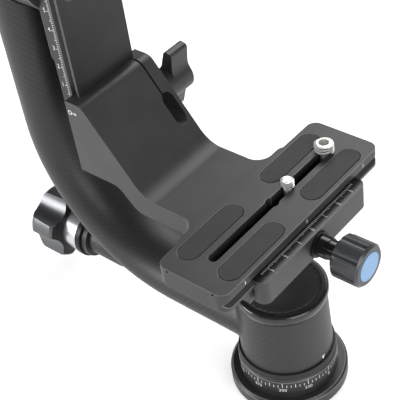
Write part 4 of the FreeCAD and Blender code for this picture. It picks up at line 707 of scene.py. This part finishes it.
# ---- Lens plate ----
# A long extruded plate with a V groove along each side and a slot for the lens screws, blasted and black
# anodised. Four ribbed rubber pads are let into its top, and three short white marks stand on its side.
PAD_OFFSET = 11.35 * MM
PAD_HALF_WIDTH = 5.5 * MM
PAD_NEAR = 9.5 * MM
PAD_FAR = 49.8 * MM
PAD_TOP = 115.2 * MM
PAD_GAP = 0.3 * MM
RIB_PITCH = 1.0 * MM
RIB_WIDTH = 0.5 * MM
RIB_RISE = 0.12 * MM
RIB_MARGIN = 0.25 * MM
PLATE_SIDE = 19.0 * MM
PLATE_MARK_PLACES = (-44.5 * MM, 0.0, 44.5 * MM)
PLATE_MARK_HALF = 0.2 * MM
PLATE_MARK_LOW = 111.6 * MM
PLATE_MARK_HIGH = 113.6 * MM
plate_anodised = grained("plate_anodised", (0.026, 0.026, 0.027), (0.035, 0.035, 0.036), 0.44, 0.06)
dressed("lens_plate", "plate", plate_anodised, width=0.3 * MM, edge_highlight=painted_edge_highlight)
pad_black = grained("pad_rubber_black", (0.036, 0.036, 0.037), (0.046, 0.046, 0.048), 0.58, 0.06)
pads_piece = dressed("plate_pads", "plate", pad_black, width=0.1 * MM)
for corner in pads_piece.data.vertices:
    middle_x = math.copysign(PAD_OFFSET, corner.co.x)
    middle_y = math.copysign((PAD_NEAR + PAD_FAR) / 2, corner.co.y)
    corner.co.x -= (corner.co.x - middle_x) * PAD_GAP / PAD_HALF_WIDTH
    corner.co.y -= (corner.co.y - middle_y) * PAD_GAP * 2 / (PAD_FAR - PAD_NEAR)
    if corner.co.z > PAD_TOP - RIB_RISE:
        corner.co.z -= RIB_RISE
ribs = []
for side_x, side_y in ((-1, -1), (-1, 1), (1, -1), (1, 1)):
    for step in range(1, round((PAD_FAR - PAD_NEAR) / RIB_PITCH)):
        along = PAD_NEAR + step * RIB_PITCH
        past_round = max(PAD_NEAR + PAD_HALF_WIDTH - along, along - PAD_FAR + PAD_HALF_WIDTH, 0.0)
        half = math.sqrt(PAD_HALF_WIDTH ** 2 - past_round ** 2) - PAD_GAP - RIB_MARGIN
        if half < RIB_WIDTH:
            continue
        ribs.append(mark((side_x * PAD_OFFSET - half, side_y * along - RIB_WIDTH / 2, PAD_TOP - 2 * RIB_RISE),
                         (side_x * PAD_OFFSET + half, side_y * along + RIB_WIDTH / 2, PAD_TOP)))
printed("pad_ribs", ribs, "plate", pad_black)
coated(dark_steel, "stop_pins")

plate_strokes = [mark((PLATE_SIDE - PRINT_SUNK, place_y - PLATE_MARK_HALF, PLATE_MARK_LOW),
                      (PLATE_SIDE + PRINT_RISE, place_y + PLATE_MARK_HALF, PLATE_MARK_HIGH))
                 for place_y in PLATE_MARK_PLACES]
printed("plate_index_print", plate_strokes, "plate")

# ---- Lens screws ----
# Two turned steel screws, a small one with a domed end and a large one bored hollow, each captive in the
# plate's slot above a nylon washer. Their threads are cut: 1/4 inch by 20 and 3/8 inch by 16 to the inch.
# The faces between the thread's coils are painted near black: painted shade in the grooves.
NECK_TOP = 115.6 * MM
CREST_STEPS = 40
CREST_SHARE = 0.3  # half the width of the ridge's foot, over the pitch
ROOT_SINK = 0.15 * MM
OUTSIDE_SHARE = 0.75  # over the root's radius: farther out is the screw's outside, and not its bore
END_SHARE = 0.9
END_LEVEL = 0.01 * MM
ROOT_SIDE_TURN = 0.2


def ridge(radius, root, pitch, middle_y, high):
    """The thread's ridge: a three-cornered profile swept up a helix and cut flat under the screw's end."""
    clear_selection()
    depth = radius - root + ROOT_SINK
    bpy.ops.mesh.primitive_circle_add(vertices=3, radius=1, rotation=(math.pi / 2, math.pi / 2, 0),
                                      location=(radius - depth * 2 / 3, 0, NECK_TOP + CREST_SHARE * pitch))
    coil = bpy.context.object
    coil.scale = (CREST_SHARE * pitch / math.sin(math.pi / 3), depth * 2 / 3, 1)
    bpy.ops.object.transform_apply(location=True, rotation=True, scale=True)
    helix = coil.modifiers.new("helix", "SCREW")
    helix.screw_offset = pitch
    helix.iterations = math.ceil((high - NECK_TOP) / pitch)
    helix.steps = CREST_STEPS
    helix.render_steps = CREST_STEPS
    bpy.ops.object.modifier_apply(modifier=helix.name)
    bpy.ops.object.mode_set(mode="EDIT")
    bpy.ops.mesh.select_all(action="SELECT")
    bpy.ops.mesh.fill_holes(sides=3)
    bpy.ops.mesh.normals_make_consistent(inside=False)
    bpy.ops.transform.translate(value=(0, middle_y, 0))
    bpy.ops.mesh.bisect(plane_co=(0, 0, high), plane_no=(0, 0, 1), use_fill=True, clear_outer=True,
                        threshold=WELD)
    bpy.ops.object.mode_set(mode="OBJECT")
    return coil


def threaded(node, body, radius, root, pitch, middle_y, top, end_round):
    """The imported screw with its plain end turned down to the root, rounded, and given its thread."""
    piece = remade(node, node + "_finished")
    for corner in piece.data.vertices:
        reach = math.hypot(corner.co.x, corner.co.y - middle_y)
        if corner.co.z > NECK_TOP and reach > root * OUTSIDE_SHARE:
            corner.co.x *= root / radius
            corner.co.y = middle_y + (corner.co.y - middle_y) * root / radius
    choose(piece, "VERT", lambda corner: corner.co.z > top - END_LEVEL
           and math.hypot(corner.co.x, corner.co.y - middle_y) > root * END_SHARE)
    bpy.ops.mesh.bevel(offset=end_round, segments=4, affect="EDGES")
    bpy.ops.object.mode_set(mode="OBJECT")
    coil = ridge(radius, root, pitch, middle_y, top - end_round / 2)
    coil.data.materials.append(bright_steel)
    piece.data.materials.clear()
    piece.data.materials.append(bright_steel)
    # Painted shade: the body's sides between the coils get a near black, where the grooves lie in shade.
    second_finish(piece, root_painted_shade, lambda middle, facing: NECK_TOP < middle.z < top - end_round
                  and abs(facing.z) < ROOT_SIDE_TURN
                  and math.hypot(middle.x, middle.y - middle_y) > root * END_SHARE)
    clear_selection()
    coil.select_set(True)
    piece.select_set(True)
    bpy.context.view_layer.objects.active = piece
    bpy.ops.object.join()
    bpy.ops.object.shade_smooth_by_angle(angle=math.radians(SMOOTH_TURN))
    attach(piece, body)
    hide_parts(node)


bright_steel = grained("bright_steel", (0.72, 0.71, 0.68), (0.82, 0.81, 0.78), 0.34, 0.08, metallic=0.6)
root_painted_shade = grained("painted_thread_root_shade", (0.02, 0.02, 0.02), (0.04, 0.04, 0.04), 0.5, 0.08)
threaded("lens_screw_small", "small_screw", radius=3.175 * MM, root=2.35 * MM, pitch=1.27 * MM,
         middle_y=12.0 * MM, top=120.0 * MM, end_round=0.8 * MM)
threaded("lens_screw_large", "large_screw", radius=4.7625 * MM, root=3.9 * MM, pitch=1.5875 * MM,
         middle_y=41.0 * MM, top=121.0 * MM, end_round=0.3 * MM)
coated(nylon_black_and_shade, "small_screw_washer", "large_screw_washer")
